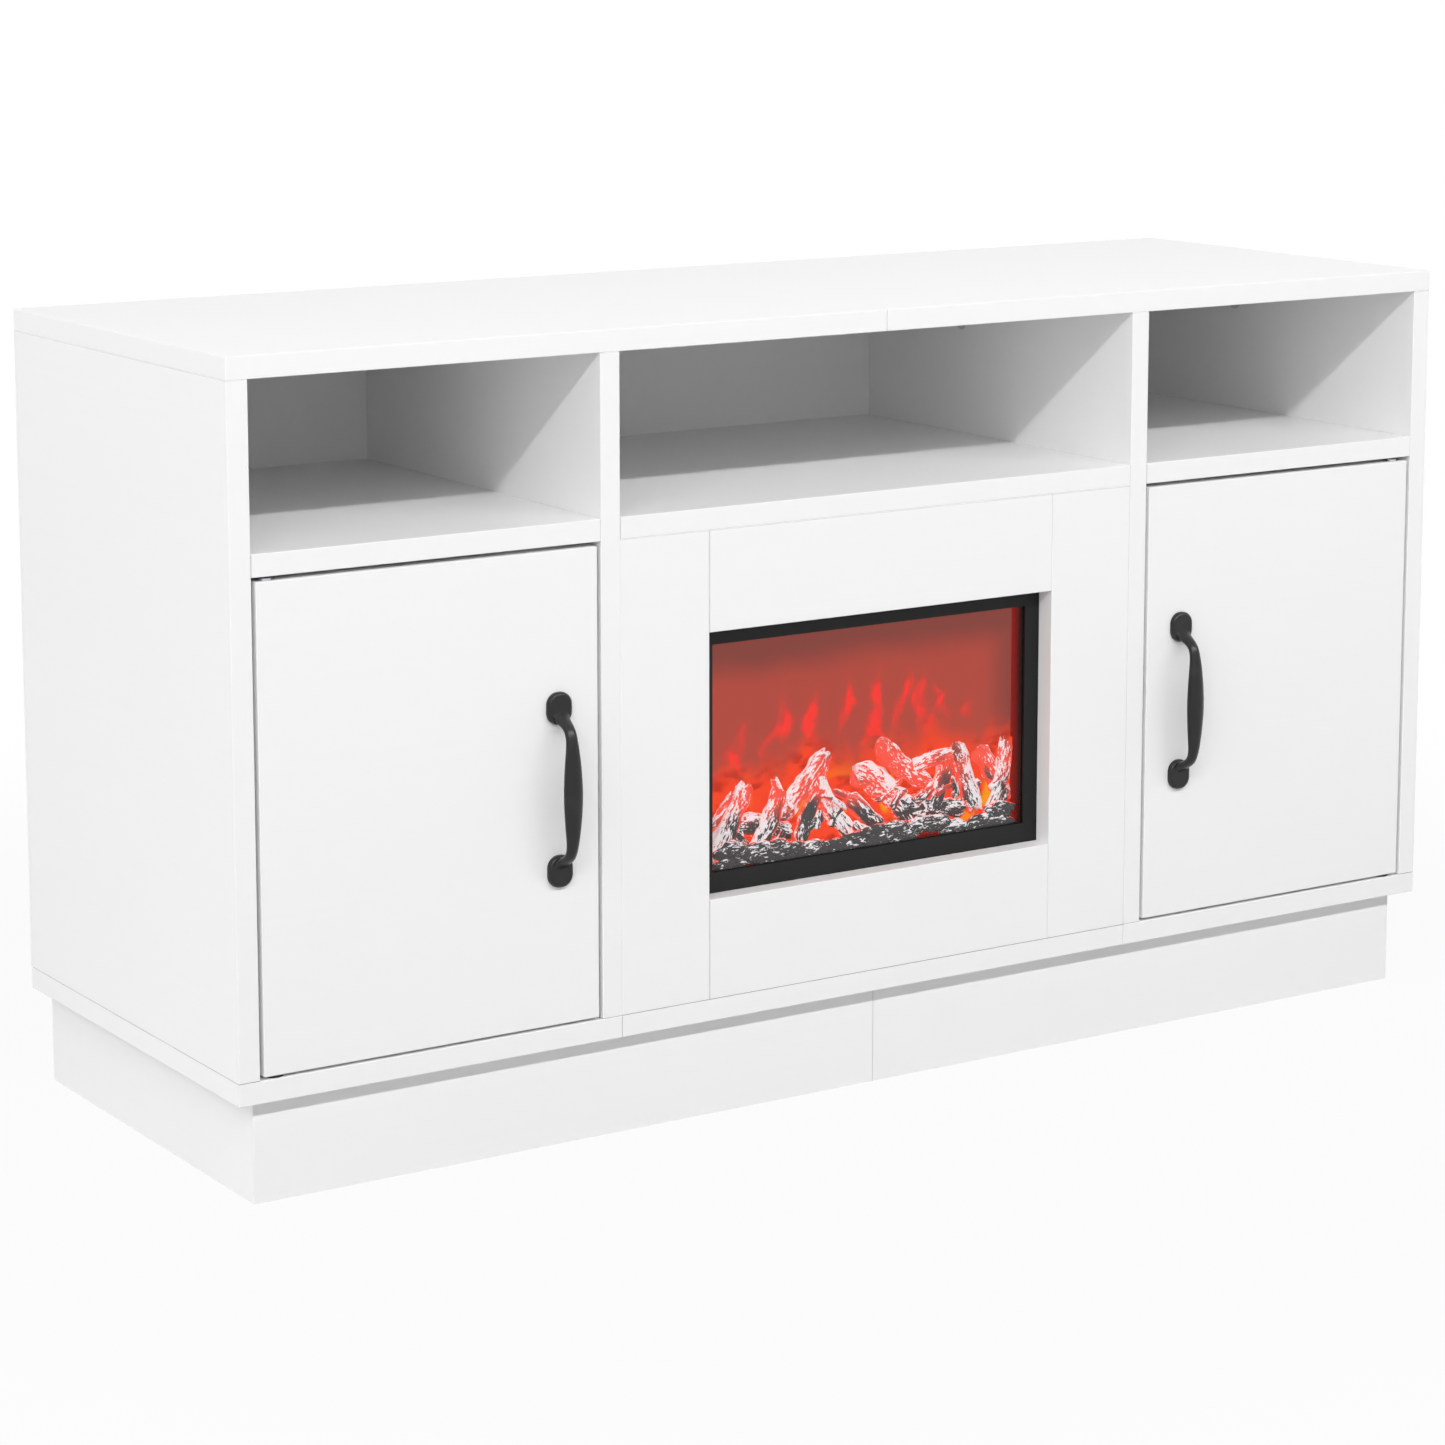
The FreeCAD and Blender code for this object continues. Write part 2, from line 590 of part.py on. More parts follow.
def surround_brackets():
    """Steel angles behind the surround, screwed to the stiles and the partitions."""
    pieces = []
    bite = BOARD * 2 / 3
    for z in (BASE_TOP + BRACKET_SETBACK, SHELF_UNDER - BRACKET_SETBACK):
        low = z - BRACKET_WIDTH / 2
        outline = [Vec(-PART_IN, DOOR_BACK, low), Vec(-PART_IN + BRACKET_LEG, DOOR_BACK, low),
                   Vec(-PART_IN + BRACKET_LEG, DOOR_BACK + BRACKET_SHEET, low),
                   Vec(-PART_IN + BRACKET_SHEET, DOOR_BACK + BRACKET_SHEET, low),
                   Vec(-PART_IN + BRACKET_SHEET, DOOR_BACK + BRACKET_LEG, low),
                   Vec(-PART_IN, DOOR_BACK + BRACKET_LEG, low)]
        angle = extruded(outline, Z_AXIS * BRACKET_WIDTH)
        pieces += [angle, mirrored(angle)]
        hole_step = BRACKET_LEG * 2 / 3
        for side in (-1, 1):
            small_screw("pan_screws", Vec(side * (PART_IN - hole_step), DOOR_BACK + BRACKET_SHEET, z),
                        -Y_AXIS, bite)
            small_screw("pan_screws", Vec(side * (PART_IN - BRACKET_SHEET), DOOR_BACK + hole_step, z),
                        X_AXIS * side, bite)
    return {"surround_brackets": Part.makeCompound(pieces)}


def doors():
    """Flat inset doors."""
    left = board(-DOOR_OUT, -DOOR_IN, FRONT, DOOR_BACK, DOOR_LOW, DOOR_HIGH)
    return {"door_left": left, "door_right": mirrored(left)}


def door_pivots():
    """Pins in the doors' upper and lower edges, turning in flanged bushes in the shelf and the base."""
    pins = []
    bushes = []
    for edge, seat, out in ((DOOR_LOW, BASE_TOP, -Z_AXIS), (DOOR_HIGH, SHELF_UNDER, Z_AXIS)):
        door_edge = Vec(-PIVOT_X, PIVOT_Y, edge)
        bush_seat = Vec(-PIVOT_X, PIVOT_Y, seat)
        gap = (bush_seat - door_edge).Length
        collar = rod(COLLAR_RADIUS, gap * COLLAR_SHARE, door_edge, out)
        pin = rod(PIN_RADIUS, PIN_IN_DOOR + gap + PIN_IN_BUSH, door_edge - out * PIN_IN_DOOR, out)
        pins.append(pin.fuse(collar).removeSplitter())
        flange_height = gap * FLANGE_SHARE
        flange = rod(FLANGE_RADIUS, flange_height, bush_seat, -out)
        barrel = rod(BUSH_RADIUS, BUSH_DEPTH, bush_seat, out)
        bore_start = bush_seat - out * flange_height
        bore = rod(PIN_RADIUS + RUNNING_CLEARANCE, BUSH_DEPTH + flange_height, bore_start, out)
        bushes.append(flange.fuse(barrel).cut(bore).removeSplitter())
        pin_hole = rod(PIN_RADIUS + FASTENER_CLEARANCE, PIN_IN_DOOR + DOWEL_END_ROOM, door_edge, -out)
        bush_hole = rod(BUSH_RADIUS + FASTENER_CLEARANCE, BUSH_DEPTH + DOWEL_END_ROOM, bush_seat, out)
        for hole in (pin_hole, bush_hole):
            fasteners.bores += [hole, mirrored(hole)]
    return {
        "pivot_pins_left": Part.makeCompound(pins),
        "pivot_pins_right": Part.makeCompound([mirrored(p) for p in pins]),
        "pivot_bushes": Part.makeCompound(bushes + [mirrored(b) for b in bushes]),
    }


def door_catches():
    """Magnetic catches under the shelf, and the steel strikes on the doors that they hold."""
    x_in = -(DOOR_IN + CATCH_EDGE_SETBACK)
    x_out = x_in - CATCH_LENGTH
    face = DOOR_BACK + STRIKE_SHEET + CATCH_CLEARANCE
    body = block(x_out, x_in, face, face + CATCH_DEPTH, SHELF_UNDER - CATCH_HEIGHT, SHELF_UNDER)
    lower = [e for e in body.Edges if e.BoundBox.ZMax < SHELF_UNDER - CATCH_HEIGHT / 2]
    body = body.makeFillet(CATCH_ROUND, lower)
    middle_x = (x_in + x_out) / 2
    middle_z = SHELF_UNDER - CATCH_HEIGHT / 2
    magnet = block(middle_x - MAGNET_LENGTH / 2, middle_x + MAGNET_LENGTH / 2, face - MAGNET_PROUD, face,
                   middle_z - MAGNET_HEIGHT / 2, middle_z + MAGNET_HEIGHT / 2)
    body = body.fuse(magnet).removeSplitter()
    strike = rounded_plate(STRIKE_LENGTH, STRIKE_HEIGHT, STRIKE_SHEET, STRIKE_ROUND)
    strike.translate(Vec(middle_x, DOOR_BACK + STRIKE_SHEET, DOOR_HIGH - STRIKE_HEIGHT / 2))
    return {
        "catch_housings": Part.makeCompound([body, mirrored(body)]),
        "strike_plate_left": strike,
        "strike_plate_right": mirrored(strike),
    }


def handle_foot():
    """A pillowed pad with round corners."""
    pad = rounded_plate(FOOT_WIDTH, FOOT_HEIGHT, FOOT_THICKNESS, FOOT_CORNER)
    face = [e for e in pad.Edges if e.BoundBox.YMax < -FOOT_THICKNESS / 2]
    return pad.makeFillet(FOOT_EDGE_ROUND, face)


def bow_ring(z, out, lean, width, depth):
    """One oval section of the bow, square to its path."""
    ring = Part.Ellipse(Vec(), width / 2, depth / 2).toShape()
    ring.rotate(Vec(), X_AXIS, RIGHT_ANGLE + lean)
    ring.translate(Vec(0, -out, z))
    return Part.Wire(ring)


def bow_handle():
    """A cast bow with flared necks and a grip that swells to its middle. Its back is at Y = 0."""
    half = HANDLE_LENGTH / 2
    upper = [(z * half, out * HANDLE_STANDOFF, lean * RIGHT_ANGLE, width * GRIP_WIDTH, depth * GRIP_DEPTH)
             for z, out, lean, width, depth in BOW_SHARES]
    lower = [(-z, out, 2 * RIGHT_ANGLE - lean, width, depth)
             for z, out, lean, width, depth in reversed(upper[:-1])]
    bow = Part.makeLoft([bow_ring(*station) for station in upper + lower], True, False)
    feet = []
    for way in (-1, 1):
        foot = handle_foot()
        foot.translate(Vec(0, 0, way * (half - FOOT_HEIGHT / 2)))
        feet.append(foot)
    return bow.fuse(feet).removeSplitter()


def handle_screw(seat):
    """A slotted screw through the door from behind, and its hole in the door and the handle."""
    length = BOARD + HANDLE_SCREW_BITE
    crown_radius = HANDLE_SCREW_HEAD_RADIUS * SMALL_SCREW_CROWN_SHARE
    head = Part.makeCone(HANDLE_SCREW_HEAD_RADIUS, crown_radius, HANDLE_SCREW_HEAD_HEIGHT, seat, Y_AXIS)
    top = seat.y + HANDLE_SCREW_HEAD_HEIGHT
    slot = block(seat.x - HANDLE_SCREW_RADIUS, seat.x + HANDLE_SCREW_RADIUS,
                 top - DRIVE_SLOT_DEPTH, top + OVERRUN,
                 seat.z - DRIVE_SLOT_WIDTH / 2, seat.z + DRIVE_SLOT_WIDTH / 2)
    screw = rod(HANDLE_SCREW_RADIUS, length, seat, -Y_AXIS).fuse(head).cut(slot).removeSplitter()
    hole = rod(HANDLE_SCREW_RADIUS + FASTENER_CLEARANCE, length + DOWEL_END_ROOM, seat, -Y_AXIS)
    return screw, hole


def handles():
    """A bow handle near each door's free edge, screwed from behind the door."""
    handle = bow_handle()
    reach = HANDLE_LENGTH / 2 - HANDLE_SCREW_INSET
    nodes = {}
    for name, side in (("left", -1), ("right", 1)):
        placed = handle.copy()
        placed.translate(Vec(side * HANDLE_X, FRONT, HANDLE_Z))
        pairs = [handle_screw(Vec(side * HANDLE_X, DOOR_BACK, HANDLE_Z + way * reach)) for way in (-1, 1)]
        fasteners.bores += [hole for screw, hole in pairs]
        nodes["handle_" + name] = placed
        nodes["handle_screws_" + name] = Part.makeCompound([screw for screw, hole in pairs])
    return nodes


def fire_front():
    """The black bezel with its glass behind a thin lip."""
    outer_x = WINDOW_X + BEZEL_OVERLAP
    outer_half = FIRE_HALF + BEZEL_OVERLAP
    frame = block(-outer_x, outer_x, BEZEL_FRONT, BEZEL_BACK, FIRE_Z - outer_half, FIRE_Z + outer_half)
    window = block(-VIEW_X, VIEW_X, BEZEL_FRONT - OVERRUN, BEZEL_BACK + OVERRUN, VIEW_LOW, VIEW_HIGH)
    seat_x = VIEW_X + GLASS_REBATE
    rebate = block(-seat_x, seat_x, GLASS_FRONT, BEZEL_BACK + OVERRUN,
                   VIEW_LOW - GLASS_REBATE, VIEW_HIGH + GLASS_REBATE)
    overlap = GLASS_REBATE - GLASS_CLEARANCE
    glass_x = VIEW_X + overlap
    glass = block(-glass_x, glass_x, GLASS_FRONT, GLASS_BACK, VIEW_LOW - overlap, VIEW_HIGH + overlap)
    flange_x = (HOUSING_X + outer_x) / 2
    for side in (-1, 1):
        for way in (-1, 1):
            seat = Vec(side * flange_x, BEZEL_BACK, FIRE_Z + way * FIRE_HALF * 3 / 4)
            small_screw("pan_screws", seat, -Y_AXIS, SMALL_SCREW_LENGTH)
    return {"fire_bezel": frame.cut([window, rebate]), "fire_glass": glass}


def corner_tabs(y0, y1):
    """Folded tabs in the four corners of the fire's housing."""
    tabs = []
    for side in (-1, 1):
        for way in (-1, 1):
            x0, x1 = sorted((side * WALL_IN, side * (WALL_IN - TAB_WIDTH)))
            z_wall = HOUSING_HALF - SHEET
            z0, z1 = sorted((FIRE_Z + way * z_wall, FIRE_Z + way * (z_wall - TAB_WIDTH)))
            tabs.append(block(x0, x1, y0, y1, z0, z1))
    return tabs


def fire_throat():
    """The housing's folded front: a plate that the screen lies against, and a lip that holds the glass."""
    lip = opened(VIEW_X, VIEW_LOW, VIEW_HIGH, SHEET, GLASS_BACK + GLASS_CLEARANCE, SCREEN_FRONT)
    plate_front = SCREEN_FRONT - SHEET
    plate = block(-WALL_IN, WALL_IN, plate_front, SCREEN_FRONT,
                  FIRE_Z - HOUSING_HALF + SHEET, FIRE_Z + HOUSING_HALF - SHEET)
    opening = block(-VIEW_X, VIEW_X, plate_front - OVERRUN, SCREEN_FRONT + OVERRUN, VIEW_LOW, VIEW_HIGH)
    return [lip, plate.cut(opening)]


def fire_housing():
    """A sheet-metal tube behind the bezel, with its throat and the tabs for the screen and the cover."""
    tube = opened(WALL_IN, FIRE_Z - HOUSING_HALF + SHEET, FIRE_Z + HOUSING_HALF - SHEET, SHEET,
                  BEZEL_BACK, HOUSING_BACK)
    tabs = corner_tabs(SCREEN_BACK, SCREEN_BACK + SHEET) + corner_tabs(HOUSING_BACK - TAB_DEPTH, HOUSING_BACK)
    return {"fire_housing": tube.fuse(fire_throat() + tabs).removeSplitter()}


def flame_screen():
    """The lit panel behind the logs."""
    half_width = WALL_IN - SCREEN_CLEARANCE
    half_height = HOUSING_HALF - SHEET - SCREEN_CLEARANCE
    panel = block(-half_width, half_width, SCREEN_FRONT, SCREEN_BACK,
                  FIRE_Z - half_height, FIRE_Z + half_height)
    return {"flame_screen": panel}


def ember_bed():
    """A low mound of coals along the sill, with a waved upper edge."""
    half_width = VIEW_X - LAYER_CLEARANCE
    low = VIEW_LOW + LAYER_CLEARANCE
    front = GLASS_BACK + LAYER_CLEARANCE
    count = 2 * EMBER_WAVES
    crest = []
    for step in range(count + 1):
        x = -half_width + 2 * half_width * step / count
        lift = EMBER_WAVE * math.cos(math.pi * step) / 2 + EMBER_WAVE * math.sin(1 + step) / 2
        crest.append(Vec(x, front, low + EMBER_HEIGHT + lift))
    curve = Part.BSplineCurve()
    curve.interpolate(crest)
    corners = [crest[-1], Vec(half_width, front, low), Vec(-half_width, front, low), crest[0]]
    edges = [curve.toShape()] + [Part.makeLine(a, b) for a, b in zip(corners, corners[1:])]
    face = Part.Face(Part.Wire(Part.__sortEdges__(edges)))
    return {"ember_bed": face.extrude(Y_AXIS * EMBER_DEPTH)}


def one_log(number, shares):
    """A tapered, knotty log lying close to the flame screen, flattened in depth."""
    x0, z0, x1, z1, size = shares
    width = 2 * VIEW_X
    height = VIEW_HIGH - VIEW_LOW
    start = Vec(-VIEW_X + x0 * width, 0, VIEW_LOW + z0 * height)
    end = Vec(-VIEW_X + x1 * width, 0, VIEW_LOW + z1 * height)
    along = (end - start).normalize()
    across = along.cross(Y_AXIS)
    rings = []
    for ring in range(LOG_RINGS):
        share = ring / (LOG_RINGS - 1)
        radius = LOG_RADIUS * size * (1 - (1 - LOG_TAPER_SHARE) * share)
        middle = start + (end - start) * share
        points = []
        for corner in range(LOG_SIDES):
            turn = 2 * math.pi * corner / LOG_SIDES
            knot = 1 + LOG_KNOT_SHARE * math.sin(3 * turn + number + 2 * ring)
            out = across * (radius * knot * math.cos(turn))
            deep = Y_AXIS * (radius * knot * math.sin(turn) * LOG_FLATTEN_SHARE)
            points.append(middle + out + deep)
        rings.append(Part.makePolygon(points + points[:1]))
    return Part.makeLoft(rings, True, True)


def log_set():
    """The logs as one moulded piece, between the ember bed and the flame screen, standing on the sill."""
    front = GLASS_BACK + EMBER_DEPTH + 2 * LAYER_CLEARANCE
    back = SCREEN_FRONT - LAYER_CLEARANCE
    half_width = VIEW_X - LAYER_CLEARANCE
    low = VIEW_LOW + LAYER_CLEARANCE
    room = block(-half_width, half_width, front, back, low, VIEW_HIGH)
    hearth_top = low + HEARTH_SHARE * (VIEW_HIGH - VIEW_LOW)
    hearth = block(-half_width, half_width, front, back, low, hearth_top)
    middle = Vec(0, (front + back) / 2, 0)
    logs = []
    for number, shares in enumerate(LOG_SHARES):
        log = one_log(number, shares)
        log.translate(middle)
        logs.append(log)
    return {"log_set": hearth.fuse(logs).common(room).removeSplitter()}


def led_board():
    """A circuit board with a row of LEDs, on the floor of the housing."""
    floor = FIRE_Z - HOUSING_HALF + SHEET
    front = SCREEN_BACK + LED_BOARD_SETBACK
    top = floor + LED_BOARD_THICKNESS
    strip = block(-LED_BOARD_LENGTH / 2, LED_BOARD_LENGTH / 2, front, front + LED_BOARD_WIDTH, floor, top)
    lamps = []
    for number in range(LED_COUNT):
        x = LED_BOARD_LENGTH * ((number + 0.5) / LED_COUNT - 0.5)
        seat = Vec(x, front + LED_BOARD_WIDTH / 2, top)
        lamps.append(Part.makeCone(LED_RADIUS, LED_RADIUS / 2, LED_HEIGHT, seat, Z_AXIS))
    return {"led_board": strip.fuse(lamps).removeSplitter()}


def flame_spindle():
    """A rod of mirrored blades that throws moving light on the screen, its bearing and its motor."""
    axis_point = Vec(0, SPINDLE_Y, SPINDLE_Z)
    bearing_face = -WALL_IN + BEARING_LENGTH
    motor_face = WALL_IN - MOTOR_LENGTH
    left_end = bearing_face - BEARING_BORE_DEPTH + SPINDLE_END_ROOM
    right_end = motor_face - SPINDLE_END_ROOM
    shaft = rod(SPINDLE_RADIUS, right_end - left_end, Vec(left_end, SPINDLE_Y, SPINDLE_Z), X_AXIS)
    blades_from = bearing_face + BLADE_WIDTH
    blades_to = motor_face - MOTOR_BOSS_LENGTH - BLADE_WIDTH
    blades = []
    for number in range(BLADE_SETS):
        x = blades_from + (blades_to - blades_from) * number / (BLADE_SETS - 1)
        blade = block(x - BLADE_WIDTH / 2, x + BLADE_WIDTH / 2,
                      SPINDLE_Y - BLADE_RADIUS, SPINDLE_Y + BLADE_RADIUS,
                      SPINDLE_Z - BLADE_SHEET / 2, SPINDLE_Z + BLADE_SHEET / 2)
        blade.rotate(axis_point, X_AXIS, number * BLADE_TWIST)
        blades.append(blade)
    bore_radius = SPINDLE_RADIUS + RUNNING_CLEARANCE
    bearing = rod(BEARING_RADIUS, BEARING_LENGTH, Vec(-WALL_IN, SPINDLE_Y, SPINDLE_Z), X_AXIS)
    bearing_bore = rod(bore_radius, BEARING_BORE_DEPTH + OVERRUN,
                       Vec(bearing_face - BEARING_BORE_DEPTH, SPINDLE_Y, SPINDLE_Z), X_AXIS)
    motor = rod(MOTOR_RADIUS, MOTOR_LENGTH, Vec(motor_face, SPINDLE_Y, SPINDLE_Z), X_AXIS)
    boss_start = Vec(motor_face - MOTOR_BOSS_LENGTH, SPINDLE_Y, SPINDLE_Z)
    boss = rod(MOTOR_BOSS_RADIUS, MOTOR_BOSS_LENGTH, boss_start, X_AXIS)
    boss_bore = rod(bore_radius, MOTOR_BOSS_LENGTH, boss_start, X_AXIS)
    return {
        "flame_spindle": shaft.fuse(blades).removeSplitter(),
        "spindle_bearing": bearing.cut(bearing_bore),
        "spindle_motor": motor.fuse(boss).cut(boss_bore).removeSplitter(),
    }


def rear_cover():
    """A vented plate on the back of the housing, with seats for the switch and the socket."""
    y1 = HOUSING_BACK + SHEET
    plate = block(-HOUSING_X, HOUSING_X, HOUSING_BACK, y1, FIRE_Z - HOUSING_HALF, FIRE_Z + HOUSING_HALF)
    cuts = []
    high = FIRE_Z + HOUSING_HALF - VENT_MARGIN
    room_x = 2 * (HOUSING_X - VENT_MARGIN) - VENT_LENGTH
    room_z = 2 * (HOUSING_HALF - VENT_MARGIN) - SWITCH_LIFT - SWITCH_HEIGHT
    columns = int(room_x / VENT_PITCH_X) + 1
    for column in range(columns):
        for row in range(int(room_z / VENT_PITCH_Z)):
            x = (column - (columns - 1) / 2) * VENT_PITCH_X
            slot = rounded_plate(VENT_LENGTH, VENT_HEIGHT, SHEET + 2 * OVERRUN, VENT_HEIGHT * VENT_END_SHARE)
            slot.translate(Vec(x, y1 + OVERRUN, high - row * VENT_PITCH_Z))
            cuts.append(slot)
    controls_z = FIRE_Z - HOUSING_HALF + SWITCH_LIFT
    half_width = SWITCH_WIDTH / 2 + FASTENER_CLEARANCE
    half_height = SWITCH_HEIGHT / 2 + FASTENER_CLEARANCE
    y_in = HOUSING_BACK - OVERRUN
    cuts.append(block(-SWITCH_OFFSET - half_width, -SWITCH_OFFSET + half_width, y_in, y1 + OVERRUN,
                      controls_z - half_height, controls_z + half_height))
    cuts.append(rod(SOCKET_RADIUS + FASTENER_CLEARANCE, SHEET + 2 * OVERRUN,
                    Vec(SWITCH_OFFSET, y_in, controls_z), Y_AXIS))
    tab_middle = TAB_WIDTH / 2
    for side in (-1, 1):
        for way in (-1, 1):
            seat = Vec(side * (WALL_IN - tab_middle), y1, FIRE_Z + way * (HOUSING_HALF - SHEET - tab_middle))
            small_screw("pan_screws", seat, -Y_AXIS, SHEET + TAB_DEPTH - OVERRUN)
    return {"fire_rear_cover": plate.cut(cuts)}


def rocker_switch():
    """A rocker in its snap-in frame, tilted to one side."""
    y_face = HOUSING_BACK + SHEET
    centre = Vec(-SWITCH_OFFSET, y_face, FIRE_Z - HOUSING_HALF + SWITCH_LIFT)
    half_width = SWITCH_WIDTH / 2
    half_height = SWITCH_HEIGHT / 2
    y_top = y_face + SWITCH_FLANGE_HEIGHT
    body = block(centre.x - half_width, centre.x + half_width, y_face - SWITCH_BODY_DEPTH, y_face,
                 centre.z - half_height, centre.z + half_height)
    rim_width = half_width + SWITCH_FLANGE
    rim_height = half_height + SWITCH_FLANGE
    flange = block(centre.x - rim_width, centre.x + rim_width, y_face, y_top,
                   centre.z - rim_height, centre.z + rim_height)
    well_half_width = ROCKER_WIDTH / 2 + FASTENER_CLEARANCE
    well_half_height = ROCKER_HALF_HEIGHT + ROCKER_ROOM
    pivot = Vec(centre.x, y_face - ROCKER_PIVOT_DEPTH, centre.z)
    well_floor = pivot.y - 2 * ROCKER_PIN_RADIUS
    well = block(centre.x - well_half_width, centre.x + well_half_width, well_floor, y_top + OVERRUN,
                 centre.z - well_half_height, centre.z + well_half_height)
    pin_span = ROCKER_WIDTH + 2 * ROCKER_PIN_LENGTH
    pin_start = Vec(pivot.x - pin_span / 2, pivot.y, pivot.z)
    pin_bore = rod(ROCKER_PIN_RADIUS + RUNNING_CLEARANCE, pin_span + 2 * FASTENER_CLEARANCE,
                   pin_start - X_AXIS * FASTENER_CLEARANCE, X_AXIS)
    frame = body.fuse(flange).cut([well, pin_bore]).removeSplitter()
    outline = [Vec(pivot.x - ROCKER_WIDTH / 2, pivot.y + dy, pivot.z + dz) for dy, dz in (
        (-ROCKER_PIN_RADIUS, 0), (0, -ROCKER_HALF_HEIGHT), (ROCKER_DEPTH, -ROCKER_HALF_HEIGHT),
        (ROCKER_DEPTH - ROCKER_DISH, 0), (ROCKER_DEPTH, ROCKER_HALF_HEIGHT), (0, ROCKER_HALF_HEIGHT))]
    rocker = extruded(outline, X_AXIS * ROCKER_WIDTH)
    rocker = rocker.fuse(rod(ROCKER_PIN_RADIUS, pin_span, pin_start, X_AXIS)).removeSplitter()
    rocker.rotate(pivot, X_AXIS, -ROCKER_TILT)
    return {"switch_frame": frame, "switch_rocker": rocker}


def power_socket():
    """A round low-voltage socket with its centre pin."""
    seat = Vec(SWITCH_OFFSET, HOUSING_BACK + SHEET, FIRE_Z - HOUSING_HALF + SWITCH_LIFT)
    barrel = rod(SOCKET_RADIUS, SOCKET_DEPTH, seat, -Y_AXIS)
    rim = rod(SOCKET_FLANGE_RADIUS, SOCKET_FLANGE_HEIGHT, seat, Y_AXIS)
    mouth = seat + Y_AXIS * SOCKET_FLANGE_HEIGHT
    bore = rod(SOCKET_BORE_RADIUS, SOCKET_BORE_DEPTH, mouth, -Y_AXIS)
    pin = rod(SOCKET_PIN_RADIUS, SOCKET_BORE_DEPTH, mouth - Y_AXIS * SOCKET_FLANGE_HEIGHT, -Y_AXIS)
    return {"power_socket": barrel.fuse(rim).cut(bore).fuse(pin).removeSplitter()}


def build():
    """Every node of the stand by name, bored for its fasteners."""
    carcass_joints()
    back_nails()
    nodes = {}
    for make in (top_panels, top_joining_plate, uprights, shelves, base_panels, plinth, plinth_corner_blocks,
                 back_panels, surround, surround_brackets, doors, door_pivots, door_catches, handles,
                 fire_front, fire_housing, flame_screen, ember_bed, log_set, led_board, flame_spindle,
                 rear_cover, rocker_switch, power_socket):
        nodes.update(make())
    own_bores = ("pivot_pins", "pivot_bushes", "handle_screws")
    for name, shape in nodes.items():
        if not name.startswith(own_bores):
            nodes[name] = fasteners.bore(shape)
    for name, solids in fasteners.nodes.items():
        nodes[name] = Part.makeCompound(solids)
    return nodes


def main():
    os.makedirs("parts", exist_ok=True)
    for name, shape in sorted(build().items()):
        shape.exportStep(os.path.join("parts", name + ".step"))
        print(f"{name}: {len(shape.Solids)} solids, valid {shape.isValid()}, {shape.Volume / 1000:.1f} cm3")


main()
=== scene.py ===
"""Looks of the fireplace TV stand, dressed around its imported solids.

The boards, doors, handles and hardware keep their solids and get their finishes here. The logs and the coals
of the electric fire are modelled as meshes, and the flames are a lit picture on the flame screen. All sizes
are metres in the stand's own frame: +X right, +Y back, +Z up, with the origin on the floor under its middle.
"""

import json
import logging
import math
import random
from dataclasses import dataclass, field
from enum import Enum
from typing import Any, Optional, Union

import bmesh
import bpy
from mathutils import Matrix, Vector, noise

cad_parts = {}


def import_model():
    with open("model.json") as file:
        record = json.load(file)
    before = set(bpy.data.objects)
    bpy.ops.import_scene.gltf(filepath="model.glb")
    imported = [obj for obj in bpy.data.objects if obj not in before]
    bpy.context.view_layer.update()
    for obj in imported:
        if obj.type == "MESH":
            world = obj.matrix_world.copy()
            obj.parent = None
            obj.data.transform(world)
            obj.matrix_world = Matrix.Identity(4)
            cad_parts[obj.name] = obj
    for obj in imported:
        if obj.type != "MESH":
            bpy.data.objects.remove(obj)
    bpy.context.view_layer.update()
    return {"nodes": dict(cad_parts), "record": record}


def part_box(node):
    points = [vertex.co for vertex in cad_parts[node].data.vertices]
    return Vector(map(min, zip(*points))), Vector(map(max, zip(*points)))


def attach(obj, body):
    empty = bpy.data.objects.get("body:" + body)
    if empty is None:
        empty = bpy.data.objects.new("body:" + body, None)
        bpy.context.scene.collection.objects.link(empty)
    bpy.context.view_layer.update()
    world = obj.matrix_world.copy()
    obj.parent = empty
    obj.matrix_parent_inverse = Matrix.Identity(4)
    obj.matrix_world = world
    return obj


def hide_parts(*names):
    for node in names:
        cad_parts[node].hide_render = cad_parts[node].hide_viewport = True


LOG = logging.getLogger("stand")

Colour = tuple[float, float, float]
Axes = tuple[float, float, float]
Band = tuple[float, float]
Value = Union["Val", float]

BLACK: Colour = (0.0, 0.0, 0.0)
WHITE: Colour = (1.0, 1.0, 1.0)

# The middle level of a random pattern that runs from 0 to 1.
MIDDLE = 0.5

# How far a normal leans along an axis where a face starts to point that way, and where it fully does.
FACING: Band = (0.2, 0.6)

# Sockets of a Mix node for colours, which share their names with those for numbers.
MIX_SHARE = 0
MIX_FIRST = 6
MIX_SECOND = 7
MIX_RESULT = 2


def srgb(red: int, green: int, blue: int) -> Colour:
    """Turns a screen colour of 0 to 255 into scene-linear light, by the standard curve.

    Args:
        red, green, blue: the colour as a screen shows it.

    Returns:
        The linear colour.
    """
    def linear(level: int) -> float:
        """One channel of the colour."""
        share = level / 255
        return share / 12.92 if share <= 0.04045 else ((share + 0.055) / 1.055) ** 2.4

    return linear(red), linear(green), linear(blue)


def rgba(colour: Colour) -> tuple[float, float, float, float]:
    """A colour as a colour socket takes it."""
    return (*colour, 1.0)


def clamp(value: float, low: float = 0.0, high: float = 1.0) -> float:
    """The value, kept between two limits."""
    return max(low, min(high, value))


@dataclass(frozen=True)
class Texture:
    """A soft random pattern: steps to the metre, finer layers, their strength, and a stretch by axis."""

    scale: float
    detail: float = 3.0
    harshness: float = 0.5
    stretch: Axes = (1.0, 1.0, 1.0)


@dataclass(frozen=True)
class Relief:
    """How a pattern stands up from a surface: the strength of the bump, and the height of a full step."""

    strength: float
    height: float


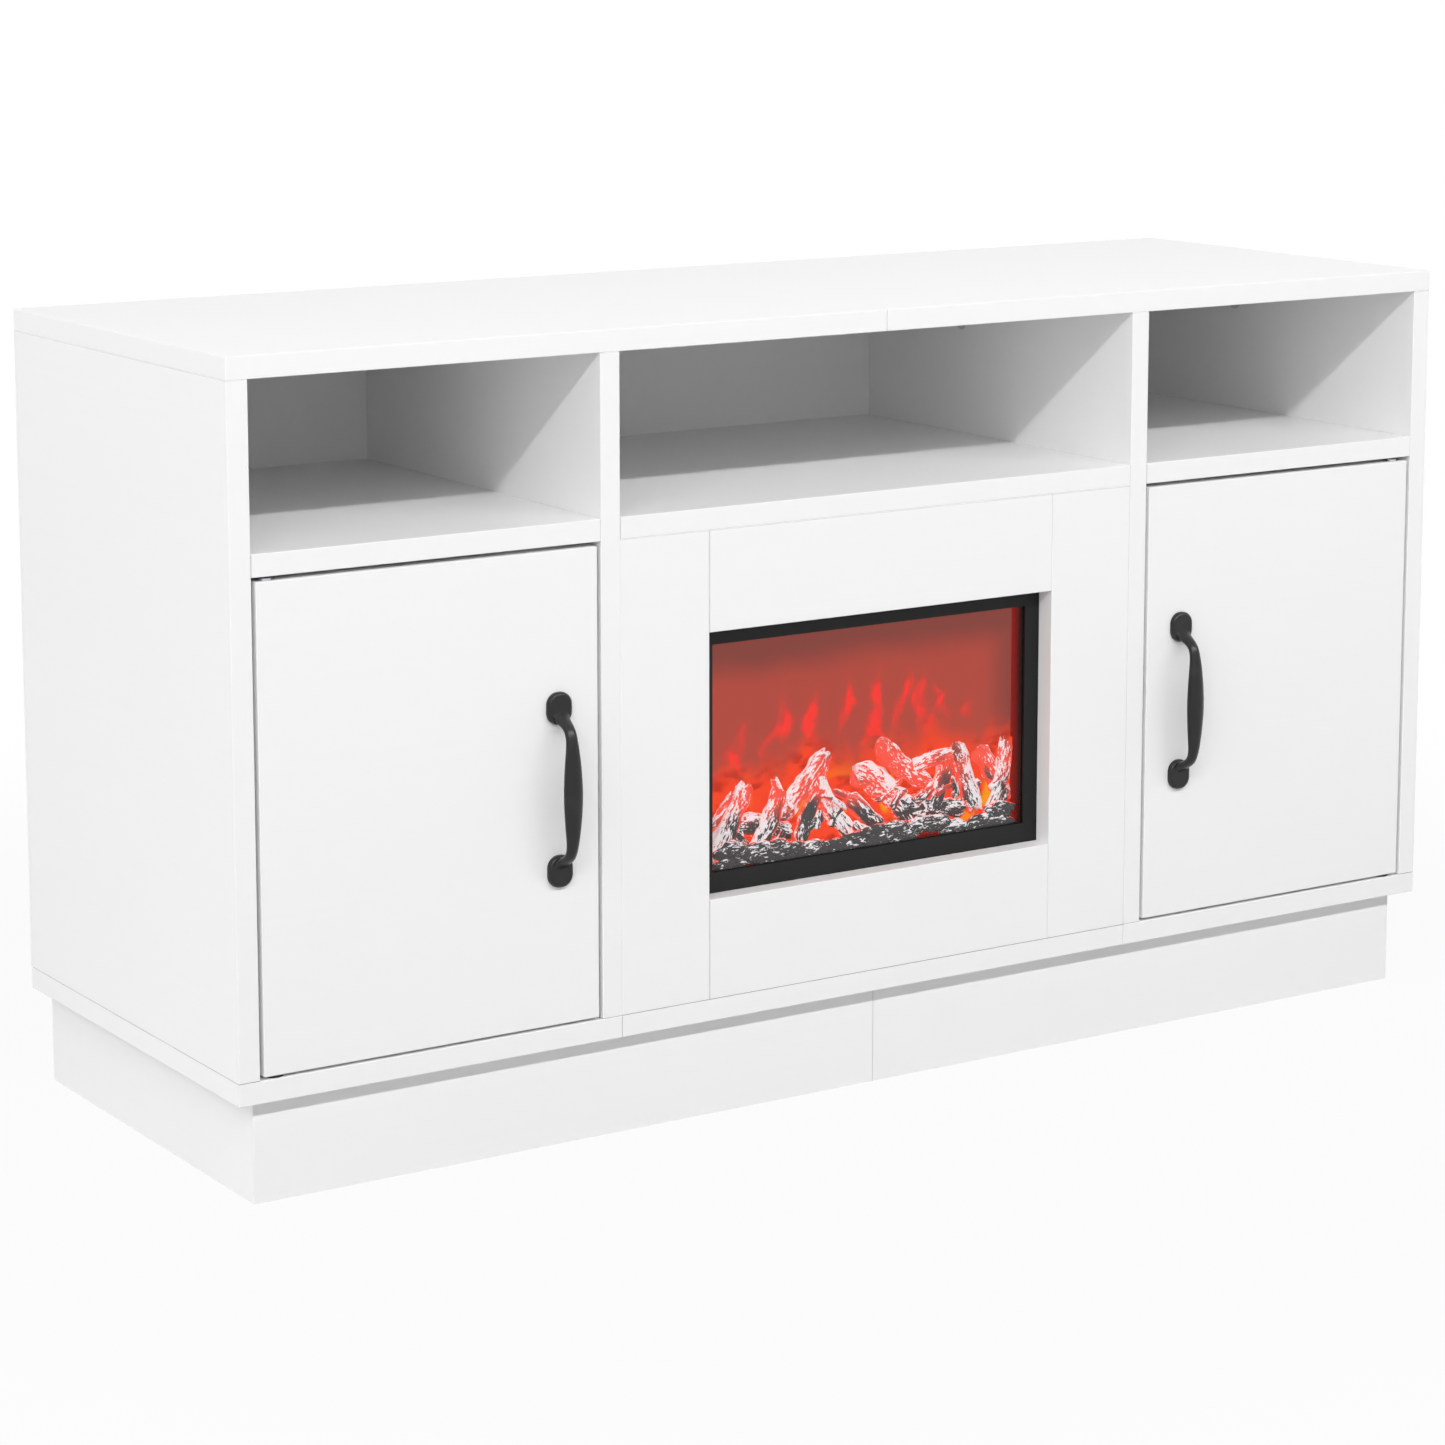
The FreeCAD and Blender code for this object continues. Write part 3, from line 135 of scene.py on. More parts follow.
class Val:
    """A shader value that takes part in Python arithmetic."""

    def __init__(self, graph: "Graph", socket: bpy.types.NodeSocket) -> None:
        """Wraps one output socket of a graph."""
        self.graph = graph
        self.socket = socket

    def __add__(self, other: Value) -> "Val":
        """This value plus another."""
        return self.graph.maths("ADD", self, other)

    def __radd__(self, other: Value) -> "Val":
        """Another value plus this one."""
        return self.graph.maths("ADD", other, self)

    def __sub__(self, other: Value) -> "Val":
        """This value less another."""
        return self.graph.maths("SUBTRACT", self, other)

    def __rsub__(self, other: Value) -> "Val":
        """Another value less this one."""
        return self.graph.maths("SUBTRACT", other, self)

    def __mul__(self, other: Value) -> "Val":
        """This value times another."""
        return self.graph.maths("MULTIPLY", self, other)

    def __rmul__(self, other: Value) -> "Val":
        """Another value times this one."""
        return self.graph.maths("MULTIPLY", other, self)

    def __truediv__(self, other: Value) -> "Val":
        """This value divided by another."""
        return self.graph.maths("DIVIDE", self, other)

    def __pow__(self, other: Value) -> "Val":
        """This value to the power of another."""
        return self.graph.maths("POWER", self, other)

    def __abs__(self) -> "Val":
        """This value without its sign."""
        return self.graph.maths("ABSOLUTE", self)

    def wave(self) -> "Val":
        """The sine of this value."""
        return self.graph.maths("SINE", self)

    def bell(self) -> "Val":
        """A bell curve: 1 where this value is 0, falling off on both sides."""
        return self.graph.maths("EXPONENT", self * self * -1.0)

    def above(self, other: Value) -> "Val":
        """The larger of this value and another."""
        return self.graph.maths("MAXIMUM", self, other)

    def ramp(self, low: float, high: float) -> "Val":
        """A smooth step from 0 at low to 1 at high."""
        inputs = {"Value": self, "From Min": low, "From Max": high}
        return self.graph.node("ShaderNodeMapRange", {"interpolation_type": "SMOOTHSTEP"}, inputs)


class Graph:
    """The node tree of one material or world."""

    def __init__(self, owner: Union[bpy.types.Material, bpy.types.World]) -> None:
        """Empties the owner's node tree, to draw in it.

        Args:
            owner: the material or world.
        """
        owner.use_nodes = True
        self.tree = owner.node_tree
        self.tree.nodes.clear()

    def node(self, kind: str, settings: Optional[dict[str, Any]] = None,
             inputs: Optional[dict[Any, Any]] = None, output: Union[int, str] = 0) -> Optional[Val]:
        """Adds one node.

        Args:
            kind: the node's type.
            settings: attributes, which are set first.
            inputs: values or links by socket name or number.
            output: which output socket to return.

        Returns:
            That output, or None for a node that has none.
        """
        made = self.tree.nodes.new(kind)
        for key, value in (settings or {}).items():
            setattr(made, key, value)
        for key, value in (inputs or {}).items():
            if isinstance(value, Val):
                self.tree.links.new(value.socket, made.inputs[key])
            else:
                made.inputs[key].default_value = value
        return Val(self, made.outputs[output]) if len(made.outputs) else None

    def maths(self, operation: str, *operands: Value) -> Val:
        """Adds one Math node on its operands."""
        return self.node("ShaderNodeMath", {"operation": operation}, dict(enumerate(operands)))

    def place(self) -> Val:
        """The point on the surface, in the stand's frame."""
        return self.node("ShaderNodeTexCoord", output="Object")

    def part(self, vector: Val, axis: str) -> Val:
        """One coordinate of a vector."""
        return self.node("ShaderNodeSeparateXYZ", None, {0: vector}, axis)

    def facing(self, axis: str) -> Val:
        """1 on faces that point along an axis, and 0 on the others."""
        normal = self.node("ShaderNodeTexCoord", output="Normal")
        return self.part(normal, axis).ramp(*FACING)

    def noise(self, texture: Texture, place: Val) -> Val:
        """A random pattern over a surface.

        Args:
            texture: the pattern.
            place: the point on the surface.

        Returns:
            Its levels there, between 0 and 1.
        """
        operands = {0: place, 1: texture.stretch}
        inputs = {
            "Vector": self.node("ShaderNodeVectorMath", {"operation": "MULTIPLY"}, operands),
            "Scale": texture.scale,
            "Detail": texture.detail,
            "Roughness": texture.harshness,
        }
        return self.node("ShaderNodeTexNoise", None, inputs)

    def mix(self, share: Value, first: Union[Val, Colour], second: Union[Val, Colour]) -> Val:
        """A colour between two others.

        Args:
            share: 0 for the first colour and 1 for the second.
            first, second: the two colours.

        Returns:
            The mixed colour.
        """
        inputs = {MIX_SHARE: share}
        for key, colour in ((MIX_FIRST, first), (MIX_SECOND, second)):
            inputs[key] = colour if isinstance(colour, Val) else rgba(colour)
        return self.node("ShaderNodeMix", {"data_type": "RGBA"}, inputs, MIX_RESULT)

    def bump(self, height: Val, relief: Relief) -> Val:
        """A normal that follows a height."""
        inputs = {"Height": height, "Strength": relief.strength, "Distance": relief.height}
        return self.node("ShaderNodeBump", None, inputs)

    def saved(self, name: str, output: str) -> Val:
        """A value kept on the mesh's points."""
        return self.node("ShaderNodeAttribute", {"attribute_name": name}, output=output)


@dataclass(frozen=True)
class Finish:
    """A surface finish. Each kind says what feeds its shader."""

    name: str

    def sockets(self, graph: Graph) -> dict[str, Any]:
        """What feeds the shader's sockets."""
        raise NotImplementedError

    def material(self) -> bpy.types.Material:
        """Makes the material.

        Returns:
            A new material with this finish.
        """
        made = bpy.data.materials.new(self.name)
        graph = Graph(made)
        shader = graph.node("ShaderNodeBsdfPrincipled", None, self.sockets(graph), "BSDF")
        graph.node("ShaderNodeOutputMaterial", None, {"Surface": shader})
        return made


class Grain(Enum):
    """Which way the faint emboss of a coated board runs."""

    ACROSS = Texture(1.0, detail=4.0, harshness=0.6, stretch=(4.0, 260.0, 260.0))
    FRONT_TO_BACK = Texture(1.0, detail=4.0, harshness=0.6, stretch=(260.0, 4.0, 260.0))


class Side(Enum):
    """A side of a board's box: its axis, and which of the box's two corners it goes through."""

    LEFT = ("X", 0)
    RIGHT = ("X", 1)
    LOW = ("Z", 0)
    HIGH = ("Z", 1)


class Seam(Enum):
    """How dark the line is where two boards butt."""

    FAINT = srgb(204, 204, 204)
    PLAIN = srgb(166, 166, 166)
    DEEP = srgb(100, 100, 100)


@dataclass(frozen=True)
class CoatedBoard(Finish):
    """White melamine on particle board, with a faint wood emboss and a grey line where two boards butt."""

    grain: Grain
    seams: tuple[tuple[str, float, Seam], ...]
    seam_edge: Band = (0.00036, 0.0006)
    colour: Colour = srgb(247, 247, 247)
    shade: Colour = srgb(244, 244, 244)
    clouds: Texture = Texture(7.0, detail=2.0)
    fibre_share: float = 0.6
    roughness: float = 0.40
    roughness_spread: float = 0.12
    emboss: Relief = Relief(0.10, 0.0004)

    def seamed(self, graph: Graph, place: Val, coat: Val) -> Val:
        """Draws the seams.

        Args:
            graph: the material's node tree.
            place: the point on the board.
            coat: the colour of the coat there.

        Returns:
            The coat with a line along each butted side, apart from faces that point up.
        """
        not_on_top = 1.0 - graph.facing("Z")
        for axis, side, seam in self.seams:
            away = abs(graph.part(place, axis) - side)
            near = 1.0 - away.ramp(*self.seam_edge)
            coat = graph.mix(near * not_on_top, coat, seam.value)
        return coat

    def sockets(self, graph: Graph) -> dict[str, Any]:
        """Fine streaks along the grain, and a soft sheen."""
        place = graph.place()
        fibres = graph.noise(self.grain.value, place)
        clouds = graph.noise(self.clouds, place)
        streaks = fibres * self.fibre_share + clouds * (1.0 - self.fibre_share)
        coat = graph.mix(streaks, self.colour, self.shade)
        return {
            "Base Color": self.seamed(graph, place, coat),
            "Roughness": self.roughness + self.roughness_spread * fibres,
            "Normal": graph.bump(fibres, self.emboss),
        }


@dataclass(frozen=True)
class FacedHardboard(Finish):
    """Thin hardboard: white paper on the face, bare brown fibre behind."""

    face: Colour = srgb(245, 245, 245)
    rear: Colour = srgb(150, 112, 78)
    rear_dark: Colour = srgb(122, 88, 60)
    fibres: Texture = Texture(420.0, detail=5.0, harshness=0.65, stretch=(1.0, 1.0, 1.6))
    fibre_band: Band = (0.35, 0.65)
    roughness: float = 0.55
    roughness_behind: float = 0.3
    relief: Relief = Relief(0.12, 0.0004)

    def sockets(self, graph: Graph) -> dict[str, Any]:
        """Flecked brown where the surface faces backwards."""
        fibres = graph.noise(self.fibres, graph.place())
        backwards = graph.facing("Y")
        brown = graph.mix(fibres.ramp(*self.fibre_band), self.rear_dark, self.rear)
        return {
            "Base Color": graph.mix(backwards, self.face, brown),
            "Roughness": self.roughness + self.roughness_behind * backwards,
            "Normal": graph.bump(fibres, self.relief),
        }


@dataclass(frozen=True)
class SatinEnamel(Finish):
    """Black enamel on a casting: satin, with the casting's soft unevenness."""

    colour: Colour = srgb(21, 21, 22)
    worn: Colour = srgb(34, 34, 35)
    orange_peel: Texture = Texture(900.0)
    patches: Texture = Texture(60.0, detail=2.0)
    worn_band: Band = (0.45, 0.8)
    roughness: float = 0.24
    roughness_spread: float = 0.12
    gloss: float = 0.4
    relief: Relief = Relief(0.06, 0.0006)

    def sockets(self, graph: Graph) -> dict[str, Any]:
        """A slightly uneven satin black."""
        place = graph.place()
        patches = graph.noise(self.patches, place)
        return {
            "Base Color": graph.mix(patches.ramp(*self.worn_band), self.colour, self.worn),
            "Roughness": self.roughness + self.roughness_spread * patches,
            "Specular IOR Level": self.gloss,
            "Normal": graph.bump(graph.noise(self.orange_peel, place), self.relief),
        }


@dataclass(frozen=True)
class PowderCoat(Finish):
    """Fine-textured black powder coat on sheet metal."""

    colour: Colour = srgb(19, 19, 19)
    light: Colour = srgb(26, 26, 26)
    pebbles: Texture = Texture(1500.0, harshness=0.6)
    light_band: Band = (0.3, 0.7)
    roughness: float = 0.5
    roughness_spread: float = 0.15
    gloss: float = 0.28
    relief: Relief = Relief(0.18, 0.0003)

    def sockets(self, graph: Graph) -> dict[str, Any]:
        """Fine pebbling that dulls the gloss."""
        pebbles = graph.noise(self.pebbles, graph.place())
        return {
            "Base Color": graph.mix(pebbles.ramp(*self.light_band), self.colour, self.light),
            "Roughness": self.roughness + self.roughness_spread * pebbles,
            "Specular IOR Level": self.gloss,
            "Normal": graph.bump(pebbles, self.relief),
        }


@dataclass(frozen=True)
class PlainMetal(Finish):
    """Plated or mirrored metal. Its blotches darken it and dull it by the same share."""

    colour: Colour
    roughness: float
    blotch: float
    blotches: Texture = Texture(260.0, detail=4.0)

    def sockets(self, graph: Graph) -> dict[str, Any]:
        """Slight blotches in the plating."""
        blotches = graph.noise(self.blotches, graph.place())
        dull = tuple(level * (1.0 - self.blotch) for level in self.colour)
        return {
            "Base Color": graph.mix(blotches, self.colour, dull),
            "Metallic": 1.0,
            "Roughness": self.roughness + self.blotch * blotches,
        }


@dataclass(frozen=True)
class Moulding(Finish):
    """Moulded plastic with a fine spark-eroded texture."""

    colour: Colour
    roughness: float = 0.5
    roughness_spread: float = 0.16
    pit_shade: float = 0.86
    sparks: Texture = Texture(1800.0, detail=2.0)
    relief: Relief = Relief(0.10, 0.0002)

    def sockets(self, graph: Graph) -> dict[str, Any]:
        """A fine even texture."""
        sparks = graph.noise(self.sparks, graph.place())
        pits = tuple(level * self.pit_shade for level in self.colour)
        return {
            "Base Color": graph.mix(sparks, pits, self.colour),
            "Roughness": self.roughness + self.roughness_spread * (sparks - MIDDLE),
            "Normal": graph.bump(sparks, self.relief),
        }


@dataclass(frozen=True)
class BareWood(Finish):
    """Planed wood without a coat, with growth rings and pores."""

    pale: Colour
    dark: Colour
    bend: Texture = Texture(30.0)
    bend_reach: float = 9.0
    ring_rate: float = 900.0
    ring_share: float = 0.5
    pores: Texture = Texture(1.0, stretch=(600.0, 600.0, 60.0))
    roughness: float = 0.62
    roughness_spread: float = 0.2
    relief: Relief = Relief(0.2, 0.0004)

    def sockets(self, graph: Graph) -> dict[str, Any]:
        """Rings along one axis, bent by noise, and fine pores."""
        place = graph.place()
        bend = graph.noise(self.bend, place) * self.bend_reach
        rings = (graph.part(place, "X") * self.ring_rate + bend).wave() * MIDDLE + MIDDLE
        pores = graph.noise(self.pores, place)
        figure = rings * self.ring_share + pores * (1.0 - self.ring_share)
        return {
            "Base Color": graph.mix(figure, self.pale, self.dark),
            "Roughness": self.roughness + self.roughness_spread * pores,
            "Normal": graph.bump(pores, self.relief),
        }


@dataclass(frozen=True)
class CircuitBoard(Finish):
    """White solder mask with faint tracks."""

    mask: Colour = srgb(226, 228, 222)
    track: Colour = srgb(206, 210, 198)
    track_rate: float = 2600.0
    track_band: Band = (0.1, 0.3)
    roughness: float = 0.35
    track_roughness: float = 0.1

    def sockets(self, graph: Graph) -> dict[str, Any]:
        """Tracks as bands across the board."""
        tracks = (graph.part(graph.place(), "Y") * self.track_rate).wave().ramp(*self.track_band)
        return {
            "Base Color": graph.mix(tracks, self.mask, self.track),
            "Roughness": self.roughness + self.track_roughness * tracks,
        }


@dataclass(frozen=True)
class FloatGlass(Finish):
    """Clear glass: it shows face on only as a faint gloss, and more edge on."""

    tint: Colour = srgb(60, 62, 62)
    face_on: float = 0.045
    edge_on: float = 0.75
    falloff: float = 5.0
    roughness: float = 0.05

    def sockets(self, graph: Graph) -> dict[str, Any]:
        """Nearly clear face on, and much less so edge on, alike from both sides of the pane."""
        aslant = graph.node("ShaderNodeLayerWeight", output="Facing")
        return {
            "Base Color": rgba(self.tint),
            "Roughness": self.roughness,
            "Alpha": self.face_on + self.edge_on * aslant ** self.falloff,
        }


@dataclass(frozen=True)
class FireWindow:
    """The glazed opening of the fire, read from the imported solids."""

    left: float
    right: float
    low: float
    high: float

    @classmethod
    def measured(cls, rebate: float) -> "FireWindow":
        """Reads the window from the glass, which overlaps it by the rebate."""
        low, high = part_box("fire_glass")
        return cls(low.x + rebate, high.x - rebate, low.z + rebate, high.z - rebate)

    @property
    def width(self) -> float:
        """How wide the window is."""
        return self.right - self.left

    @property
    def height(self) -> float:
        """How high the window is."""
        return self.high - self.low

    def at(self, across: float, up: float) -> Vector:
        """A point of the window from shares of its width and height."""
        return Vector((self.left + across * self.width, 0.0, self.low + up * self.height))


@dataclass(frozen=True, kw_only=True)
class LitThroat(PowderCoat):
    """Powder coat with the fire's red light painted on as glow inside the throat, between the screen and the
    glass.
    """

    window: FireWindow
    glass: float
    screen: float
    slack: float = 0.0004
    # painted glow: the colour of the fire's red light, painted on the throat walls as emission
    red: Colour = srgb(140, 14, 6)

    def sockets(self, graph: Graph) -> dict[str, Any]:
        """The coat, with a painted red glow where it faces the throat, growing from the glass towards the
        screen.
        """
        place = graph.place()
        side = self.window.width / 2 + self.slack
        floor = self.window.low - self.slack
        roof = self.window.high + self.slack
        up = graph.part(place, "Z")
        between = 1.0 - abs(graph.part(place, "X")).ramp(side, side + self.slack)
        level = up.ramp(floor - self.slack, floor) * (1.0 - up.ramp(roof, roof + self.slack))
        depth = graph.part(place, "Y").ramp(self.glass, self.screen)
        return {
            **super().sockets(graph),
            # painted glow: red emission only on the throat walls, between the glass and the screen
            "Emission Color": graph.mix(between * level * depth, BLACK, self.red),
            "Emission Strength": 1.0,
        }


@dataclass(frozen=True)
class Wisp:
    """One tongue of flame, in shares of the window's width and height.

    It stands at its foot, reaches from low to high, leans and sways, and has its own width and light. The
    rest is alike in all tongues: how fast they sway and bead, where they bulge, and where they fade.
    """

    foot: float
    low: float
    high: float
    lean: float
    sway: float
    phase: float
    width: float
    light: float
    sway_rate: float = 4.2
    bead_rate: float = 7.5
    bead_phase: float = 2.0
    bead_depth: float = 0.3
    belly_place: float = 0.45
    belly_sharpness: float = 2.6
    neck_width: float = 0.45
    belly_width: float = 0.75
    fade_in: Band = (-0.15, 0.30)
    fade_out: Band = (0.55, 1.10)

    def brightness(self, across: Val, up: Val) -> Val:
        """How bright this tongue is at a point.

        Args:
            across, up: the point, as shares of the window.

        Returns:
            Its brightness there.
        """
        rise = (up - self.low) * (1.0 / (self.high - self.low))
        path = (rise * self.sway_rate + self.phase).wave() * self.sway + rise * self.lean
        belly = ((rise - self.belly_place) * self.belly_sharpness).bell()
        width = self.width * (self.neck_width + self.belly_width * belly)
        body = ((across - self.foot - path) / width).bell()
        pulse = (rise * self.bead_rate + self.phase * self.bead_phase).wave()
        beads = 1.0 - self.bead_depth + self.bead_depth * pulse
        ends = rise.ramp(*self.fade_in) * (1.0 - rise.ramp(*self.fade_out))
        return body * ends * beads * self.light


@dataclass(frozen=True)
class FlamePicture(Finish):
    """The lit picture on the flame screen: a dull red glow with brighter wisps over a bed of fire, and
    painted shade along its top and side edges.

    Levels and edges are shares of the window's width and height.
    """

    window: FireWindow
    wisps: tuple[Wisp, ...]
    dull: Colour = srgb(184, 79, 67)
    # painted shade: the glow's colour at the top and side edges, standing for the frame's shadow on the
    # screen
    painted_edge_shade: Colour = srgb(130, 71, 65)
    flame: Colour = srgb(255, 66, 58)
    bed: Colour = srgb(255, 76, 44)
    deep: Colour = srgb(206, 54, 36)
    heart: Colour = srgb(255, 158, 30)
    # painted glow: a faint red emission on the back of the screen
    rear: Colour = srgb(96, 16, 10)
    stir: Texture = Texture(70.0, detail=2.0)
    stir_reach: float = 0.06
    breaks: Texture = Texture(110.0, detail=2.0, stretch=(1.0, 1.0, 0.5))
    break_band: Band = (0.34, 0.60)
    broken_light: float = 0.55
    whole_light: float = 0.90
    clouds: Texture = Texture(16.0, detail=2.0)
    cloud_reach: float = 0.16
    top_edge: Band = (0.76, 0.93)
    top_painted_shade: float = 0.85
    left_edge: Band = (-0.02, 0.05)
    right_edge: Band = (0.90, 0.99)
    side_painted_shade: float = 0.7
    crest: Texture = Texture(34.0, detail=2.0, stretch=(1.0, 1.0, 0.4))
    crest_reach: float = 0.36
    bed_top: float = 0.38
    bed_edge: Band = (-0.03, 0.14)
    smoulder: Texture = Texture(70.0, stretch=(1.0, 1.0, 1.8))
    smoulder_band: Band = (0.30, 0.54)
    glow_level: Texture = Texture(42.0, detail=1.0)
    hot_band: Band = (0.56, 0.70)
    hot_edge: Band = (0.20, 0.40)
    roughness: float = 0.7

    def glow(self, graph: Graph, place: Val, across: Val, up: Val) -> Val:
        """The dull glow above the bed, with painted shade darkening it towards its top and side edges, and
        the wisps.

        Args:
            graph: the material's node tree.
            place: the point on the screen.
            across, up: the same point, as shares of the window.

        Returns:
            Its colour there.
        """
        drift = (graph.noise(self.clouds, place) - MIDDLE) * self.cloud_reach
        top = (up + drift).ramp(*self.top_edge)
        sides = across.ramp(*self.right_edge).above(1.0 - across.ramp(*self.left_edge))
        # painted shade: the glow turns darker towards the top and the side edges of the window
        edge_shaded_glow = graph.mix((top * self.top_painted_shade).above(sides * self.side_painted_shade), self.dull, self.painted_edge_shade)
        stir = (graph.noise(self.stir, place) - MIDDLE) * self.stir_reach
        breaks = graph.noise(self.breaks, place).ramp(*self.break_band)
        stirred = (across + stir, up + stir)
        tongues = sum(wisp.brightness(*stirred) for wisp in self.wisps)
        return graph.mix(tongues * (self.broken_light + self.whole_light * breaks), edge_shaded_glow, self.flame)

    def sockets(self, graph: Graph) -> dict[str, Any]:
        """The glow over the bright bed behind the logs, with bright hearts low down, and a faint red glow
        painted on the screen's back.
        """
        place = graph.place()
        across = (graph.part(place, "X") - self.window.left) * (1.0 / self.window.width)
        up = (graph.part(place, "Z") - self.window.low) * (1.0 / self.window.height)
        crest = (graph.noise(self.crest, place) - MIDDLE) * self.crest_reach
        above_bed = (up - self.bed_top - crest).ramp(*self.bed_edge)
        smoulder = graph.noise(self.smoulder, place).ramp(*self.smoulder_band)
        bed = graph.mix(smoulder, self.deep, self.bed)
        fire = graph.mix(above_bed, bed, self.glow(graph, place, across, up))
        glow_level = graph.noise(self.glow_level, place).ramp(*self.hot_band) * (1.0 - up.ramp(*self.hot_edge))
        return {
            "Base Color": rgba(BLACK),
            "Roughness": self.roughness,
            "Specular IOR Level": 0.0,
            "Emission Color": graph.mix(graph.facing("Y"), graph.mix(glow_level, fire, self.heart), self.rear),
            "Emission Strength": 1.0,
        }


@dataclass(frozen=True)
class CharredBark(Finish):
    """Painted resin logs: charcoal under flakes of white ash, with a red glow between the flakes, a faint
    glow on the charcoal and a light on the ash, all painted on as emission.

    The patterns lie along each log's own grain. How ashy a place is, and how strong its painted glow is, is
    kept on the mesh.
    """

    char: Colour = srgb(72, 71, 71)
    ash: Colour = srgb(226, 221, 223)
    # painted glow: red light between the flakes, painted on as emission
    painted_red_glow: Colour = srgb(252, 70, 44)
    # painted glow: a faint glow on the charcoal, which lightens its shade
    painted_char_glow: Colour = srgb(48, 44, 44)
    flakes: Texture = Texture(1.0, detail=4.0, harshness=0.64, stretch=(150.0, 390.0, 390.0))
    flecks: Texture = Texture(1.0, detail=2.0, harshness=0.6, stretch=(330.0, 660.0, 660.0))
    flake_share: float = 0.62
    ash_weight: float = 0.24
    ash_band: Band = (0.636, 0.668)
    ash_light: float = 0.32
    painted_glow_base: float = 0.7
    painted_glow_in_flakes: float = 0.8
    painted_glow_band: Band = (0.28, 0.70)
    painted_glow_through_ash: float = 0.12
    roughness: float = 0.85
    gloss: float = 0.1
    relief: Relief = Relief(0.5, 0.001)

    def sockets(self, graph: Graph) -> dict[str, Any]:
        """Ash flakes over charcoal, with a painted glow between them and painted light on the ash."""
        grain = graph.saved("grain", "Vector")
        flakes = graph.noise(self.flakes, grain)
        flecks = graph.noise(self.flecks, grain)
        cover = flakes * self.flake_share + flecks * (1.0 - self.flake_share)
        pale = (cover + graph.saved("ash", "Fac") * self.ash_weight).ramp(*self.ash_band)
        # painted glow: how strongly the red shows, from the mesh's glow and the flakes
        glow_level = self.painted_glow_base + self.painted_glow_in_flakes * flakes
        painted_glow_share = (graph.saved("glow", "Fac") * glow_level).ramp(*self.painted_glow_band)
        painted_bark_glow = graph.mix(painted_glow_share, self.painted_char_glow, self.painted_red_glow)
        # painted light: the ash glows with a share of its own white, so that it looks lit
        painted_ash_light = tuple(level * self.ash_light for level in self.ash)
        return {
            "Base Color": graph.mix(pale, self.char, self.ash),
            "Roughness": self.roughness,
            "Specular IOR Level": self.gloss,
            "Normal": graph.bump(flakes, self.relief),
            "Emission Color": graph.mix(pale * (1.0 - painted_glow_share * self.painted_glow_through_ash), painted_bark_glow, painted_ash_light),
            "Emission Strength": 1.0,
        }


@dataclass
class Mesh:
    """Points and faces of one modelled piece, with the grain, ash and glow of each point."""

    points: list[Vector] = field(default_factory=list)
    faces: list[tuple[int, ...]] = field(default_factory=list)
    grain: list[Vector] = field(default_factory=list)
    ash: list[float] = field(default_factory=list)
    glow: list[float] = field(default_factory=list)

    def point(self, place: Vector, grain: Vector, ash: float, glow: float) -> int:
        """Adds a point.

        Args:
            place: where it is.
            grain: its place along and round the log, or in the coal.
            ash, glow: how ashy it is, and how strong its painted glow is.

        Returns:
            The point's number.
        """
        self.points.append(place)
        self.grain.append(grain)
        self.ash.append(ash)
        self.glow.append(glow)
        return len(self.points) - 1

    def piece(self, name: str, finish: bpy.types.Material) -> bpy.types.Object:
        """Makes the object.

        Args:
            name: the piece's name.
            finish: its material.

        Returns:
            The object, smooth shaded.
        """
        data = bpy.data.meshes.new(name)
        data.from_pydata([tuple(point) for point in self.points], [], self.faces)
        grain = data.attributes.new("grain", "FLOAT_VECTOR", "POINT")
        grain.data.foreach_set("vector", [part for point in self.grain for part in point])
        for label, levels in (("ash", self.ash), ("glow", self.glow)):
            data.attributes.new(label, "FLOAT", "POINT").data.foreach_set("value", levels)
        shell = bmesh.new()
        shell.from_mesh(data)
        bmesh.ops.recalc_face_normals(shell, faces=shell.faces)
        shell.to_mesh(data)
        shell.free()
        data.polygons.foreach_set("use_smooth", [True] * len(data.polygons))
        data.materials.append(finish)
        made = bpy.data.objects.new(name, data)
        bpy.context.scene.collection.objects.link(made)
        return made


@dataclass(frozen=True)
class LogShape:
    """One log: its two ends as shares of the window, and its radius."""

    start_x: float
    start_z: float
    end_x: float
    end_z: float
    radius: float


